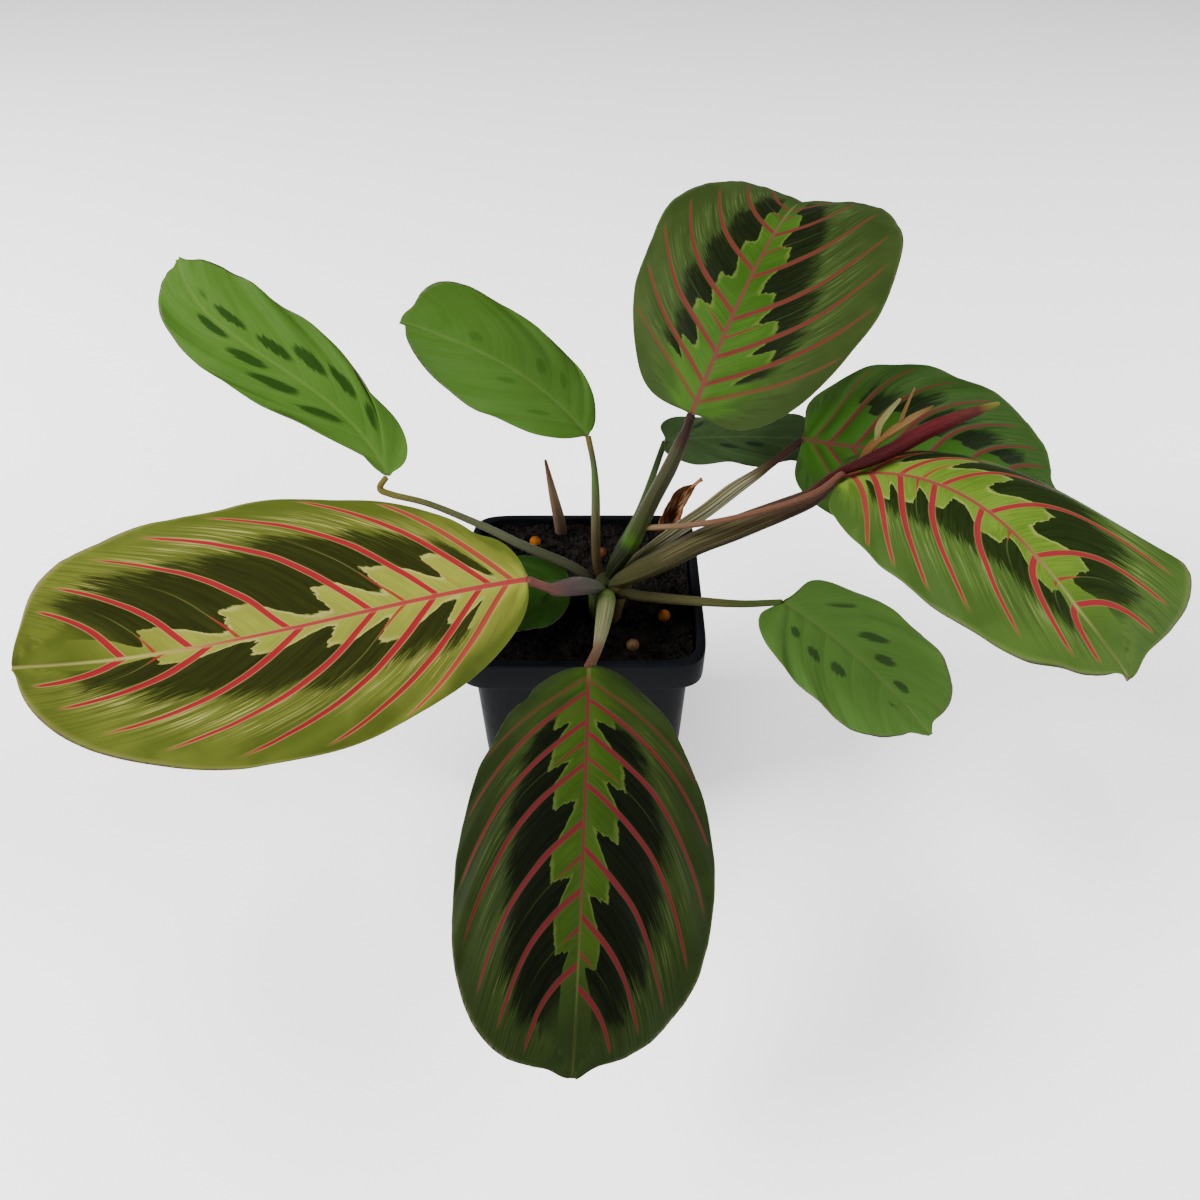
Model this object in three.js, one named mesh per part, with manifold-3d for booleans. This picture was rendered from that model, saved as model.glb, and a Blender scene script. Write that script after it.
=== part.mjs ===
// A prayer plant (maranta) in a square plastic nursery pot. Millimetres, +Z up.
// The origin is the middle of the pot's underside; the front leaf hangs towards -Y.
import * as THREE from 'three';
import { mergeVertices } from 'three/addons/utils/BufferGeometryUtils.js';
import Module from 'manifold-3d';

const wasm = await Module();
wasm.setup();

// ---- driving dimensions ----
const GAP = 0.3; // clearance between pieces that touch
const BLADE_THICKNESS = 0.7;
const CLEARED = BLADE_THICKNESS + 3 * GAP; // thickness of the space kept free round a blade

const POT = {
  rim: 70, // outer width of the rim
  height: 65,
  lip: 9.3, // depth of the lip below the rim
  underLip: 62, // outer width of the body where the lip starts
  base: 57, // outer width of the body at the bottom
  wall: 1.2,
  rimWidth: 2.4,
  floor: 2.2,
  foot: 1.2, // bevel round the bottom edge
  squareness: 9, // power of the rounded square: higher has tighter corners
  segments: 32,
};
const DRAIN = { radius: 2.6, ring: 20, count: 8 };

const SOIL = { level: 61, backRise: 1.3, lumps: 0.7, lumpSpacing: 11 };

const CROWN = { centre: [6.5, -7.5, 66.5], radii: [6.2, 6.2, 9] };

const BEADS = {
  radius: 1.8,
  sunk: 0.5, // how far a bead's middle lies below the soil's surface
  places: [[23.8, -10.7], [-15.1, 24.4], [14.5, -22.8], [5.6, 18.4], [-8.5, 10.5]],
};

// A leaf blade is a midrib that turns and bends, and two halves that fold and curl.
// heading, pitch, roll, fold and curl are degrees at its base, middle and tip.
// left and right are each half's width, where it is widest, and how full its base and tip are;
// point is how far the small tip stands out.
const BLADES = {
  left: {
    base: [-14, -26, 88], length: 123, heading: [200, 199.5, 196], pitch: [5.5, 0, 12],
    roll: [-26, -27, -22], left: [33, 0.5, 1.8, 2], right: [38.5, 0.57, 1.75, 3.2],
    fold: [[-1.5, 0, 0.5], [0.5, 0.5, 2.5]], curl: [[-13, -9, -9], [-7.5, -7.5, -18.5]],
    lobe: [1, 1.5], point: 1, wave: [0.7, 4, 0.5], nick: [-1, 0.09, 2], cells: [16, 8], colour: 0x6f7d2c,
  },
  front: {
    base: [2.5, -54, 83], length: 94.7, heading: [269.5, 268, 264.5], pitch: [2, -24.5, -55],
    roll: [-1, -2, -12], left: [30, 0.57, 1.7, 2.5], right: [28, 0.58, 1.9, 2.75],
    fold: [[-1.5, 2.5, -4], [0.5, 5, 7]], curl: [[-20, -21.5, -22.5], [-19, -17.5, -26.5]],
    lobe: [1.5, 1], point: 2.5, wave: [0.6, 5, 2], nick: [-1, 0.12, 1.5], cells: [16, 8], colour: 0x36511f,
  },
  upper: {
    base: [28.5, -6.4, 126.6], length: 84, heading: [50.5, 61, 68.5], pitch: [55.5, 26.5, -25],
    roll: [-4, -7.5, -4], left: [33.2, 0.48, 2.4, 2.5], right: [34.7, 0.44, 2, 2.4],
    fold: [[-9.5, 2.5, 17], [-10.5, -7, 5.5]], curl: [[0, -5, 1.5], [16.5, -0.5, -14.5]],
    lobe: [1.9, 3.1], point: 2.5, wave: [0.6, 3, 1], nick: null, cells: [18, 8], colour: 0x4c7c2c,
  },
  right: {
    base: [66, -18, 115], length: 87.4, heading: [345, 297, 306], pitch: [23.5, -2.5, -29],
    roll: [3.5, 13, 7.5], left: [32.6, 0.65, 1.6, 2.8], right: [27.6, 0.43, 2.45, 1.9],
    fold: [[2, 10.5, 1], [9.5, 10, 1.5]], curl: [[-69, -74.5, 7], [-32.5, -36.5, -40.5]],
    lobe: [4, 5], point: 2.5, wave: [0.5, 4, 0], nick: [-1, 0.93, 1.5], cells: [18, 10], colour: 0x5c7f35,
  },
  rear: {
    base: [62.1, 13.4, 106.6], length: 73, heading: [-13, 2, -13], pitch: [-5, -10, -22],
    roll: [22, 27, 27.5], left: [31.5, 0.42, 2, 2.1], right: [27.3, 0.46, 2.25, 2.3],
    fold: [[-2, 4, 3], [2, 0.5, -0.5]], curl: [[-20, -12, -22.5], [-18.5, -19, -20.5]],
    lobe: [3.5, 3.2], point: 2.5, wave: [0.6, 4, 1], nick: null, cells: [16, 8], colour: 0x3a6a1e,
  },
  backLeft: {
    base: [-55.5, 12.7, 95], length: 97, heading: [123, 151.5, 110], pitch: [38.5, 19.5, 24.5],
    roll: [-14.5, -19, -15], left: [14, 0.55, 1.5, 2.3], right: [16.8, 0.58, 1.6, 2.6],
    fold: [[1, 0.5, 2], [-2, 1.5, 2]], curl: [[-1, 0.5, 4.5], [-1.5, 5.5, -1.5]],
    lobe: [0.5, 2], point: 2.5, wave: [1, 4, 0], nick: null, cells: [14, 6], colour: 0x5f9038,
  },
  backMid: {
    base: [1.8, 18.3, 105], length: 78, heading: [126, 137.5, 155.5], pitch: [17.5, 4.5, 5.5],
    roll: [-14, -16.5, -34], left: [17, 0.49, 2.1, 1.75], right: [20, 0.62, 1.55, 3.4],
    fold: [[4.5, -4.5, -2.5], [2, -4.5, 14.5]], curl: [[3, -12, -4], [9, -11.5, 4]],
    lobe: [0.5, 0.5], point: 2.5, wave: [0.5, 3, 2], nick: null, cells: [14, 6], colour: 0x4f7d2e,
  },
  lowRight: {
    base: [54, -28, 82], length: 50, heading: [312, 306, 300], pitch: [0, -6, -14],
    roll: [0, 0, 0], left: [22, 0.5, 2.8, 2.3], right: [18, 0.5, 2.3, 3],
    fold: [[0, 0, 0], [0, 0, 0]], curl: [[-8, -8, -8], [-8, -8, -8]],
    lobe: [3, 3], point: 2.5, wave: [0.5, 3, 1], nick: null, cells: [12, 6], colour: 0x3f6f22,
  },
  behind: {
    base: [24.8, 32, 94.6], length: 53, heading: [2, -2, -8], pitch: [4, 0, -4],
    roll: [0, 0, 0], left: [15, 0.45, 2.4, 2.2], right: [15, 0.45, 2.4, 2],
    fold: [[0, 0, 0], [0, 0, 0]], curl: [[0, 0, 0], [0, 0, 0]],
    lobe: [3, 3], point: 2.5, wave: [1, 3, 0], nick: null, cells: [12, 6], colour: 0x35552f,
  },
  lowLeft: {
    base: [-4, -5.3, 70.8], length: 35, heading: [190, 195, 200], pitch: [4, -4, -10],
    roll: [-12, -12, -12], left: [16, 0.35, 2.1, 2], right: [11, 0.4, 2.2, 2],
    fold: [[0, 0, 0], [0, 0, 0]], curl: [[0, 0, 0], [0, 0, 0]],
    lobe: [1, 1], point: 2.5, wave: [0.4, 3, 0], nick: null, cells: [10, 6], colour: 0x2f5f1a,
  },
};

// Each leaf's stalk runs from inside the crown to its blade: x, y, z and half its thickness.
// The wider stretches are the sheath that wraps the stalk, the last thin one is the joint
// that lifts the blade at night.
const STALKS = {
  right: [
    [8, -8, 72, 2.6], [12.5, -11, 76.5, 3.2], [22.5, -11, 82.5, 3.8], [32.5, -11.5, 89.5, 4],
    [44, -12.5, 96, 4], [59, -16, 106.5, 3.2], [63.5, -17.2, 111.5, 2], [66, -18, 115, 1.2],
  ],
  left: [
    [6, -9.5, 72, 1.6], [4, -14, 75.5, 2.2], [-1, -18, 79, 3], [-6.5, -23, 82, 2.2],
    [-9, -25, 84.5, 1.4], [-14, -26, 88, 1.3],
  ],
  front: [
    [7, -9, 71, 2], [7, -18, 74, 2.5], [6, -31.5, 77, 2], [5, -42, 80, 1.4],
    [4.5, -45.5, 80.7, 1.2], [2.5, -54, 83, 1.3],
  ],
  upper: [
    [8, -7.5, 74, 2.2], [10, -7.5, 79, 2.5], [14, -6, 85.5, 2.6], [19, -5, 97.5, 2.4],
    [23.5, -5.5, 109, 2.3], [26.3, -6, 117.5, 1.9], [27.5, -6.3, 121.5, 1.3],
    [28.5, -6.4, 126.6, 1.2],
  ],
  rear: [
    [8, -5, 70, 1.4], [14, -4, 76, 1.6], [28.5, 0, 86, 2.3], [35, 2, 90, 2.4],
    [42.5, 5, 95, 2.4], [49, 7, 99, 1.8], [53.5, 9, 101.5, 1.2], [62.1, 13.4, 106.6, 1.2],
  ],
  backLeft: [
    [5, -6.5, 71, 1.4], [-2, -5, 75, 1.5], [-17, 0.5, 79, 1.4], [-28, 4, 83, 1.2],
    [-43.5, 8, 88, 1], [-54.5, 10, 90, 0.9], [-58, 11, 91.5, 0.9], [-55.5, 12.7, 95, 0.8],
  ],
  backMid: [
    [6, -5, 70, 1.3], [4.3, -2, 75, 1.3], [4, 3, 82, 1.3], [4, 9, 90.5, 1.2],
    [3.5, 13.5, 97.5, 0.8], [1.8, 18.3, 105, 0.8],
  ],
  lowRight: [
    [8, -10, 70, 1.4], [13, -14.5, 73.5, 1.6], [17, -17, 74.5, 1.6], [32, -22, 77, 1.4],
    [43.5, -26, 79.5, 1.1], [54, -28, 82, 0.8],
  ],
  behind: [
    [7, -4.5, 67, 1.1], [9.5, 1, 74, 1.1], [17, 12.5, 83, 1.1], [24.8, 32, 94.6, 0.9],
  ],
  lowLeft: [[5, -7, 67, 0.9], [0, -6, 70, 0.9], [-4, -5.3, 70.8, 0.9]],
};

// The rolled new leaf, its bracts, the flower stalk and the dry pieces, listed the same way.
const SPINDLE = [
  [58.5, -17, 108.8, 0.8], [61.5, -18.2, 113.2, 0.8], [64.5, -19.5, 116.9, 0.9],
  [67.5, -20.1, 119.1, 1.1], [71.1, -19.9, 120.7, 1.4], [77.8, -18.4, 123.4, 1.9],
  [84.8, -16.5, 127, 2.1], [91.8, -15.5, 130.1, 1.7], [98.7, -14.9, 132.7, 1.1],
  [102.7, -14.7, 134.3, 0.6],
];
const FLOWER_STALK = [
  [17.2, -6, 90, 0.8], [27.5, -12.5, 95.5, 0.8], [34.8, -15.6, 99, 0.8],
  [41.5, -18, 102.5, 0.8], [48, -20, 106.2, 0.8], [54, -21.3, 109.5, 0.8],
  [60.5, -22.3, 113.9, 0.8], [66.5, -20.3, 118.4, 0.8],
];
const BRACTS = {
  tan: [
    [70, -19.6, 120.1, 0.9], [73.2, -16.2, 123.4, 1.2], [78.1, -14.6, 126.5, 1.2],
    [83, -13, 129.4, 1], [87.8, -11.8, 131.9, 0.6],
  ],
  pale: [
    [74.1, -16, 124, 0.6], [74.6, -13.9, 127.2, 0.9], [76.4, -12.2, 129.5, 0.9],
    [79.9, -9.6, 132.7, 0.5],
  ],
  thin: [[79.5, -14.1, 127.4, 0.5], [80.7, -11.9, 130, 0.5], [83.5, -7.5, 134.5, 0.4]],
};
const BRACT_FLATNESS = 0.35;
const STUB = [
  [-6.8, 28.4, 58, 1.9], [-7.4, 28.8, 66, 1.9], [-9.2, 29.8, 76, 1.4], [-11.4, 31, 88.5, 0.5],
];
const DRY_LEAF = {
  base: [25.5, 27.5, 62.6], length: 21, heading: [20, 10, -10], pitch: [80, 62, 50],
  roll: [60, 50, 30], left: [5.5, 0.45, 2, 1.2], right: [6, 0.4, 2, 1.2],
  fold: [[25, 30, 20], [25, 20, 20]], curl: [[60, 80, 60], [40, 60, 40]],
  lobe: [0, 0], point: 2.5, wave: [0.5, 3, 0], nick: null, cells: [10, 4], colour: 0x84492a,
};

// ---- materials ----
const finish = (color, roughness) => new THREE.MeshStandardMaterial({ color, roughness, metalness: 0 });
const MATERIALS = {
  pot: finish(0x1f2126, 0.45),
  soil: finish(0x14110f, 0.95),
  bead: finish(0xb06c1e, 0.6),
  sheath: finish(0x55502f, 0.6),
  stalk: finish(0x4a6a38, 0.6),
  spindle: finish(0x6a2430, 0.5),
  flower: finish(0x9a6a52, 0.6),
  bract: finish(0x9a7b48, 0.75),
  dry: finish(0x84492a, 0.85),
};

const rad = THREE.MathUtils.degToRad;

// A value that runs smoothly through three given ones, at shares 0, 0.5 and 1.
const through = ([a, b, c], s) =>
  a * (1 - s) * (1 - 2 * s) + b * 4 * s * (1 - s) + c * s * (2 * s - 1);

function mesh(name, geometry, material) {
  const made = new THREE.Mesh(geometry, material);
  made.name = name;
  return made;
}

// ---- joining and cutting ----
// The geometry with shared vertices merged, as one closed body.
function closed(geometry) {
  const bare = new THREE.BufferGeometry();
  bare.setAttribute('position', geometry.attributes.position);
  bare.setIndex(geometry.index);
  return mergeVertices(bare, 1e-4);
}

function toSolid(geometry) {
  const merged = closed(geometry);
  return new wasm.Manifold(new wasm.Mesh({
    numProp: 3,
    vertProperties: new Float32Array(merged.attributes.position.array),
    triVerts: new Uint32Array(merged.index.array),
  }));
}

function toGeometry(solid) {
  const cut = solid.getMesh();
  const geometry = new THREE.BufferGeometry();
  geometry.setAttribute('position', new THREE.BufferAttribute(cut.vertProperties, 3));
  geometry.setIndex(new THREE.BufferAttribute(cut.triVerts, 1));
  geometry.computeVertexNormals();
  return geometry;
}

// The first geometry less all the others.
function cutAway(geometry, others) {
  return toGeometry(others.reduce((left, other) => left.subtract(toSolid(other)), toSolid(geometry)));
}

// ---- leaf blade ----
// Half the blade's width at share x of its length: two quarters of a rounded oval.
function halfWidth([width, widest, baseFullness, tipFullness], x) {
  if (x < widest) {
    return width * (1 - ((widest - x) / widest) ** baseFullness) ** (1 / baseFullness);
  }
  return width * (1 - ((x - widest) / (1 - widest)) ** tipFullness) ** (1 / tipFullness);
}

const VEIN_START = 1.8; // veins leave the midrib at share u^1.8 of the length
const VEIN_END = 2.2; // and reach the margin at 1 - (1-u)^2.2
const LOBE_PEAK = 0.06;
const TIP = { halfWidth: 0.8, reach: 0.04 };
const NICK_REACH = 0.03;

// A point of the flattened blade. u runs from base to tip, one value along each vein;
// v runs across from the left margin (1) over the midrib (0) to the right margin (-1).
function flatPoint(blade, u, v) {
  const side = v < 0 ? 1 : 0;
  const a = Math.abs(v);
  const origin = u ** VEIN_START;
  const end = 1 - (1 - u) ** VEIN_END;
  let width = halfWidth(side ? blade.right : blade.left, end);
  if (blade.nick && (blade.nick[0] < 0) === (side === 1)) {
    width -= blade.nick[2] * Math.exp(-(((end - blade.nick[1]) / NICK_REACH) ** 2));
  }
  width = Math.max(width, TIP.halfWidth);
  const hook = 0.12 + 0.38 * (1 - Math.exp(-((u / 0.3) ** 2)));
  const along = (1 - hook) * a + hook * a ** 4;
  let x = (origin + (end - origin) * along) * blade.length;
  x -= blade.lobe[side] * (end / LOBE_PEAK) * Math.exp(1 - end / LOBE_PEAK) * a ** 2.6;
  x += blade.point * Math.exp(-(((1 - u) / TIP.reach) ** 2));
  return { x, t: a * width, side, a, end };
}

// The midrib as a list of points and directions, summed from its heading and pitch.
function midrib(blade, steps = 200) {
  const at = new THREE.Vector3(...blade.base);
  const points = [at.clone()];
  for (let i = 0; i < steps; i++) {
    const s = (i + 0.5) / steps;
    at.addScaledVector(direction(blade, s), blade.length / steps);
    points.push(at.clone());
  }
  return points;
}

function direction(blade, s) {
  const heading = rad(through(blade.heading, s));
  const pitch = rad(through(blade.pitch, s));
  return new THREE.Vector3(
    Math.cos(pitch) * Math.cos(heading),
    Math.cos(pitch) * Math.sin(heading),
    Math.sin(pitch),
  );
}

// The blade's point in space, lifted off its middle surface by half its thickness or less.
function bladePoint(blade, points, u, v, lift) {
  const flat = flatPoint(blade, u, v);
  const share = THREE.MathUtils.clamp(flat.x / blade.length, 0, 1);
  const along = share * (points.length - 1);
  const i = Math.min(Math.floor(along), points.length - 2);
  const middle = points[i].clone().lerp(points[i + 1], along - i);
  const ahead = direction(blade, share);
  middle.addScaledVector(ahead, flat.x - share * blade.length);

  const heading = rad(through(blade.heading, share));
  const roll = rad(through(blade.roll, share));
  const level = new THREE.Vector3(-Math.sin(heading), Math.cos(heading), 0);
  const upright = new THREE.Vector3().crossVectors(ahead, level);
  const sideways = level.clone().multiplyScalar(Math.cos(roll)).addScaledVector(upright, Math.sin(roll));
  const normal = upright.multiplyScalar(Math.cos(roll)).addScaledVector(level, -Math.sin(roll));

  const fold = rad(through(blade.fold[flat.side], share));
  const width = (flat.side ? blade.right : blade.left)[0];
  const bend = rad(through(blade.curl[flat.side], share)) / width || 1e-6;
  const turned = fold + bend * flat.t;
  const out = (Math.sin(turned) - Math.sin(fold)) / bend - lift * Math.sin(turned);
  let up = (Math.cos(fold) - Math.cos(turned)) / bend + lift * Math.cos(turned);
  const [height, count, phase] = blade.wave;
  up += height * flat.a ** 2 * Math.sin(2 * Math.PI * count * flat.end + phase + (flat.side ? 1.3 : 0));
  return middle.addScaledVector(sideways, flat.side ? -out : out).addScaledVector(normal, up);
}

// A closed sheet: an upper and a lower grid, split into triangles alike, joined round the edge.
function bladeGeometry(blade, thickness = BLADE_THICKNESS) {
  const [rows, columns] = blade.cells;
  const points = midrib(blade);
  const positions = [];
  for (const lift of [thickness / 2, -thickness / 2]) {
    for (let i = 0; i <= rows; i++) {
      const u = (1 - Math.cos((Math.PI * i) / rows)) / 2;
      for (let j = 0; j <= columns; j++) {
        positions.push(...bladePoint(blade, points, u, 1 - (2 * j) / columns, lift).toArray());
      }
    }
  }
  const layer = (rows + 1) * (columns + 1);
  const at = (i, j) => i * (columns + 1) + j;
  const index = [];
  for (let i = 0; i < rows; i++) {
    for (let j = 0; j < columns; j++) {
      const [a, b, c, d] = [at(i, j), at(i, j + 1), at(i + 1, j + 1), at(i + 1, j)];
      index.push(a, b, c, a, c, d);
      index.push(layer + a, layer + c, layer + b, layer + a, layer + d, layer + c);
    }
  }
  const edge = [];
  for (let j = 0; j < columns; j++) edge.push(at(0, j));
  for (let i = 0; i < rows; i++) edge.push(at(i, columns));
  for (let j = columns; j > 0; j--) edge.push(at(rows, j));
  for (let i = rows; i > 0; i--) edge.push(at(i, 0));
  edge.forEach((a, k) => {
    const b = edge[(k + 1) % edge.length];
    index.push(a, layer + a, layer + b, a, layer + b, b);
  });
  const geometry = new THREE.BufferGeometry();
  geometry.setAttribute('position', new THREE.Float32BufferAttribute(positions, 3));
  geometry.setIndex(index);
  geometry.computeVertexNormals();
  return geometry;
}

// ---- stalks and other round pieces ----
// A capped cylinder laid along the route, as thick as the route says; flat squeezes it.
function stemGeometry(route, { sides = 8, perPoint = 2, flat = 1, grow = 0 } = {}) {
  const curve = new THREE.CatmullRomCurve3(route.map(([x, y, z]) => new THREE.Vector3(x, y, z)));
  const steps = (route.length - 1) * perPoint;
  const geometry = new THREE.CylinderGeometry(1, 1, 1, sides, steps);
  const position = geometry.attributes.position;
  const up = new THREE.Vector3(0, 0, 1);
  for (let i = 0; i < position.count; i++) {
    const t = THREE.MathUtils.clamp(position.getY(i) + 0.5, 0, 1);
    const along = t * (route.length - 1);
    const k = Math.min(Math.floor(along), route.length - 2);
    const radius = THREE.MathUtils.lerp(route[k][3], route[k + 1][3], along - k) + grow;
    const ahead = curve.getTangent(t);
    const across = new THREE.Vector3().crossVectors(ahead, up).normalize();
    const above = new THREE.Vector3().crossVectors(across, ahead);
    const point = curve.getPoint(t);
    point.addScaledVector(across, position.getX(i) * radius);
    point.addScaledVector(above, position.getZ(i) * radius * flat);
    position.setXYZ(i, point.x, point.y, point.z);
  }
  return geometry;
}

// The route with its last point drawn back, so that it stops just short of the blade.
function shortOf(route, gap) {
  const end = new THREE.Vector3(...route.at(-1));
  const before = new THREE.Vector3(...route.at(-2));
  const stop = end.clone().addScaledVector(before.sub(end).normalize(), gap);
  return [...route.slice(0, -1), [...stop.toArray(), route.at(-1)[3]]];
}

function ellipsoid({ centre, radii }, grow = 0, across = 12, down = 8) {
  return new THREE.SphereGeometry(1, across, down)
    .rotateX(Math.PI / 2)
    .scale(...radii.map((r) => r + grow))
    .translate(...centre);
}

// ---- pot and soil ----
// Turns a round lathed shape into a rounded square of the same half width.
function squareUp(geometry) {
  const position = geometry.attributes.position;
  for (let i = 0; i < position.count; i++) {
    const radius = Math.hypot(position.getX(i), position.getY(i));
    const even = Math.atan2(position.getY(i), position.getX(i));
    const angle = even + 0.17 * Math.sin(4 * even); // more points at the corners
    const [c, s] = [Math.cos(angle), Math.sin(angle)];
    const power = POT.squareness;
    const reach = radius / (Math.abs(c) ** power + Math.abs(s) ** power) ** (1 / power);
    position.setXY(i, c * reach, s * reach);
  }
  return geometry;
}

function lathe(profile) {
  const points = profile.map(([r, z]) => new THREE.Vector2(r, z));
  return squareUp(new THREE.LatheGeometry(points, POT.segments).rotateX(Math.PI / 2));
}

// Half width and height down the pot's inside, from its mouth to its floor.
function innerProfile() {
  const shoulder = POT.height - POT.lip;
  const mouth = POT.rim / 2 - POT.rimWidth;
  return [
    [mouth, POT.height],
    [mouth - 0.2, shoulder + 0.8],
    [POT.underLip / 2 - POT.wall, shoulder - 1.2],
    [POT.base / 2 - POT.wall, POT.floor],
  ];
}

function potGeometry() {
  const shoulder = POT.height - POT.lip;
  const outer = [
    [0, 0],
    [POT.base / 2 - POT.foot, 0],
    [POT.base / 2, POT.foot],
    [POT.underLip / 2, shoulder],
    [POT.rim / 2 - 0.5, shoulder],
    [POT.rim / 2, shoulder + 0.6],
    [POT.rim / 2, POT.height - 0.6],
    [POT.rim / 2 - 0.6, POT.height],
  ];
  const pot = lathe([...outer, ...innerProfile(), [0, POT.floor]]);
  const holes = [];
  for (let i = 0; i < DRAIN.count; i++) {
    const angle = ((i + 0.5) * 2 * Math.PI) / DRAIN.count;
    holes.push(new THREE.CylinderGeometry(DRAIN.radius, DRAIN.radius, 4 * POT.floor, 10)
      .rotateX(Math.PI / 2)
      .translate(DRAIN.ring * Math.cos(angle), DRAIN.ring * Math.sin(angle), 0));
  }
  return cutAway(pot, holes);
}

// The soil's surface: it rises a little to the back and is uneven.
function soilHeight(x, y) {
  const k = (2 * Math.PI) / SOIL.lumpSpacing;
  const lumps = Math.sin(k * x + 0.7 * Math.sin(k * y)) * Math.cos(0.9 * k * y - 0.4);
  return SOIL.level + (SOIL.backRise * y) / (POT.rim / 2) + SOIL.lumps * lumps;
}

function soilGeometry(holes) {
  const [mouth, step, wall, floor] = innerProfile();
  const profile = [
    [0, floor[1] + GAP],
    [floor[0] - GAP, floor[1] + GAP],
    [wall[0] - GAP, wall[1] + GAP],
    [step[0] - 2 * GAP, step[1] + 2 * GAP],
    [mouth[0] - 2 * GAP, SOIL.level],
  ];
  const rings = 5;
  for (let i = rings - 1; i >= 0; i--) profile.push([((mouth[0] - 2 * GAP) * i) / rings, SOIL.level]);
  const soil = lathe(profile);
  const position = soil.attributes.position;
  for (let i = 0; i < position.count; i++) {
    const [x, y] = [position.getX(i), position.getY(i)];
    if (position.getZ(i) > SOIL.level - 0.01) position.setZ(i, soilHeight(x, y));
  }
  return cutAway(soil, holes);
}

// ---- the plant ----
const plant = new THREE.Group();
const crown = ellipsoid(CROWN);
const aroundCrown = ellipsoid(CROWN, GAP);

const SHEATHED = ['right', 'left', 'front', 'upper', 'rear'];
// From each stalk's end to the middle of its blade's base.
const BLADE_GAPS = {
  right: 0.7, left: 0.65, front: 0.55, upper: 0.75, rear: 2.1,
  backLeft: 1.3, backMid: 0.7, lowRight: 1.1, behind: 1.6, lowLeft: 0.65,
};

const trimmed = [];
for (const [name, route] of Object.entries(STALKS)) {
  const short = shortOf(route, BLADE_GAPS[name]);
  const aroundBlade = bladeGeometry(BLADES[name], CLEARED);
  const material = SHEATHED.includes(name) ? MATERIALS.sheath : MATERIALS.stalk;
  const cut = cutAway(stemGeometry(short), [aroundCrown, aroundBlade, ...trimmed]);
  plant.add(mesh(`stalk_${name}`, cut, material));
  trimmed.push(stemGeometry(short, { grow: GAP }));
}
for (const [name, blade] of Object.entries(BLADES)) {
  plant.add(mesh(`blade_${name}`, bladeGeometry(blade), finish(blade.colour, 0.55)));
}
plant.add(mesh('crown', closed(crown), MATERIALS.sheath));
plant.add(mesh('rolled_leaf', cutAway(stemGeometry(SPINDLE), trimmed), MATERIALS.spindle));
trimmed.push(stemGeometry(SPINDLE, { grow: GAP }));
const flowerStalk = stemGeometry(FLOWER_STALK, { sides: 6 });
plant.add(mesh('flower_stalk', cutAway(flowerStalk, trimmed), MATERIALS.flower));
for (const [name, route] of Object.entries(BRACTS)) {
  const bract = stemGeometry(route, { sides: 6, flat: BRACT_FLATNESS });
  plant.add(mesh(`bract_${name}`, cutAway(bract, trimmed), MATERIALS.bract));
  trimmed.push(stemGeometry(route, { sides: 6, flat: 2 * BRACT_FLATNESS, grow: GAP }));
}
const stub = stemGeometry(STUB);
const dryLeaf = bladeGeometry(DRY_LEAF);
plant.add(mesh('dry_stub', stub, MATERIALS.dry));
plant.add(mesh('dry_leaf', dryLeaf, MATERIALS.dry));

// ---- the pot, its soil and the fertiliser beads ----
const potted = new THREE.Group();
const dimples = [];
BEADS.places.forEach(([x, y], i) => {
  const centre = [x, y, soilHeight(x, y) + BEADS.radius - BEADS.sunk - 0.6];
  const size = (r) => ({ centre, radii: [r, r, r] });
  dimples.push(ellipsoid(size(BEADS.radius), GAP, 8, 6));
  potted.add(mesh(`fertiliser_bead_${i + 1}`, closed(ellipsoid(size(BEADS.radius), 0, 8, 6)), MATERIALS.bead));
});
const deeper = STUB[0].map((value, i) => (i === 2 ? value - GAP : value));
const stubHole = stemGeometry([deeper, ...STUB.slice(1)], { grow: GAP });
potted.add(mesh('soil', soilGeometry([aroundCrown, stubHole, ...dimples]), MATERIALS.soil));
potted.add(mesh('pot', potGeometry(), MATERIALS.pot));

const pottedPlant = new THREE.Group();
pottedPlant.add(potted, plant);

export default pottedPlant;
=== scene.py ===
# A prayer plant in a square nursery pot. Shapes are in millimetres and go into meshes in metres.
import math

import bmesh
import bpy
import numpy as np
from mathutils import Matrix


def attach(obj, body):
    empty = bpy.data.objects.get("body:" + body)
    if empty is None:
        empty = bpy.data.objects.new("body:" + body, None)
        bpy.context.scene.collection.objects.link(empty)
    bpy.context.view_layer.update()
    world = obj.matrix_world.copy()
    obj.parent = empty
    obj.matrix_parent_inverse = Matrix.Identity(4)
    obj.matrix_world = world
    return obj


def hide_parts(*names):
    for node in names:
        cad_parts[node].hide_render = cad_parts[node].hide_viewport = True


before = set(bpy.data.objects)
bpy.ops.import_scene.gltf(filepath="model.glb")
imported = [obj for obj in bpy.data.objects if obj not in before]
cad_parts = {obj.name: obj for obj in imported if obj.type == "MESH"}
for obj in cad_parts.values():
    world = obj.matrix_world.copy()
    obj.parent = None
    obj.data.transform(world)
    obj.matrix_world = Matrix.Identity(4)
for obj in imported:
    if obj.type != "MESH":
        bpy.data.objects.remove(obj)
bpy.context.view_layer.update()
metre = 0.001


# gain: how bright colours are set for this light; gloss: specular level of plain pieces and leaves
finish = dict(gain=0.37, gloss=0.03, leafGloss=0.015)


def colour(code):
    # hex code to linear red, green, blue, alpha: gain * ((c + 0.055) / 1.055) ^ 2.4, where gain
    # makes up for the light on the pieces so that they come out as the code says
    parts = [int(code[i:i + 2], 16) / 255 for i in (1, 3, 5)]
    plain = [c / 12.92 if c < 0.04 else ((c + 0.055) / 1.055) ** 2.4 for c in parts]
    return tuple(finish["gain"] * c for c in plain) + (1.0,)


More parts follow.
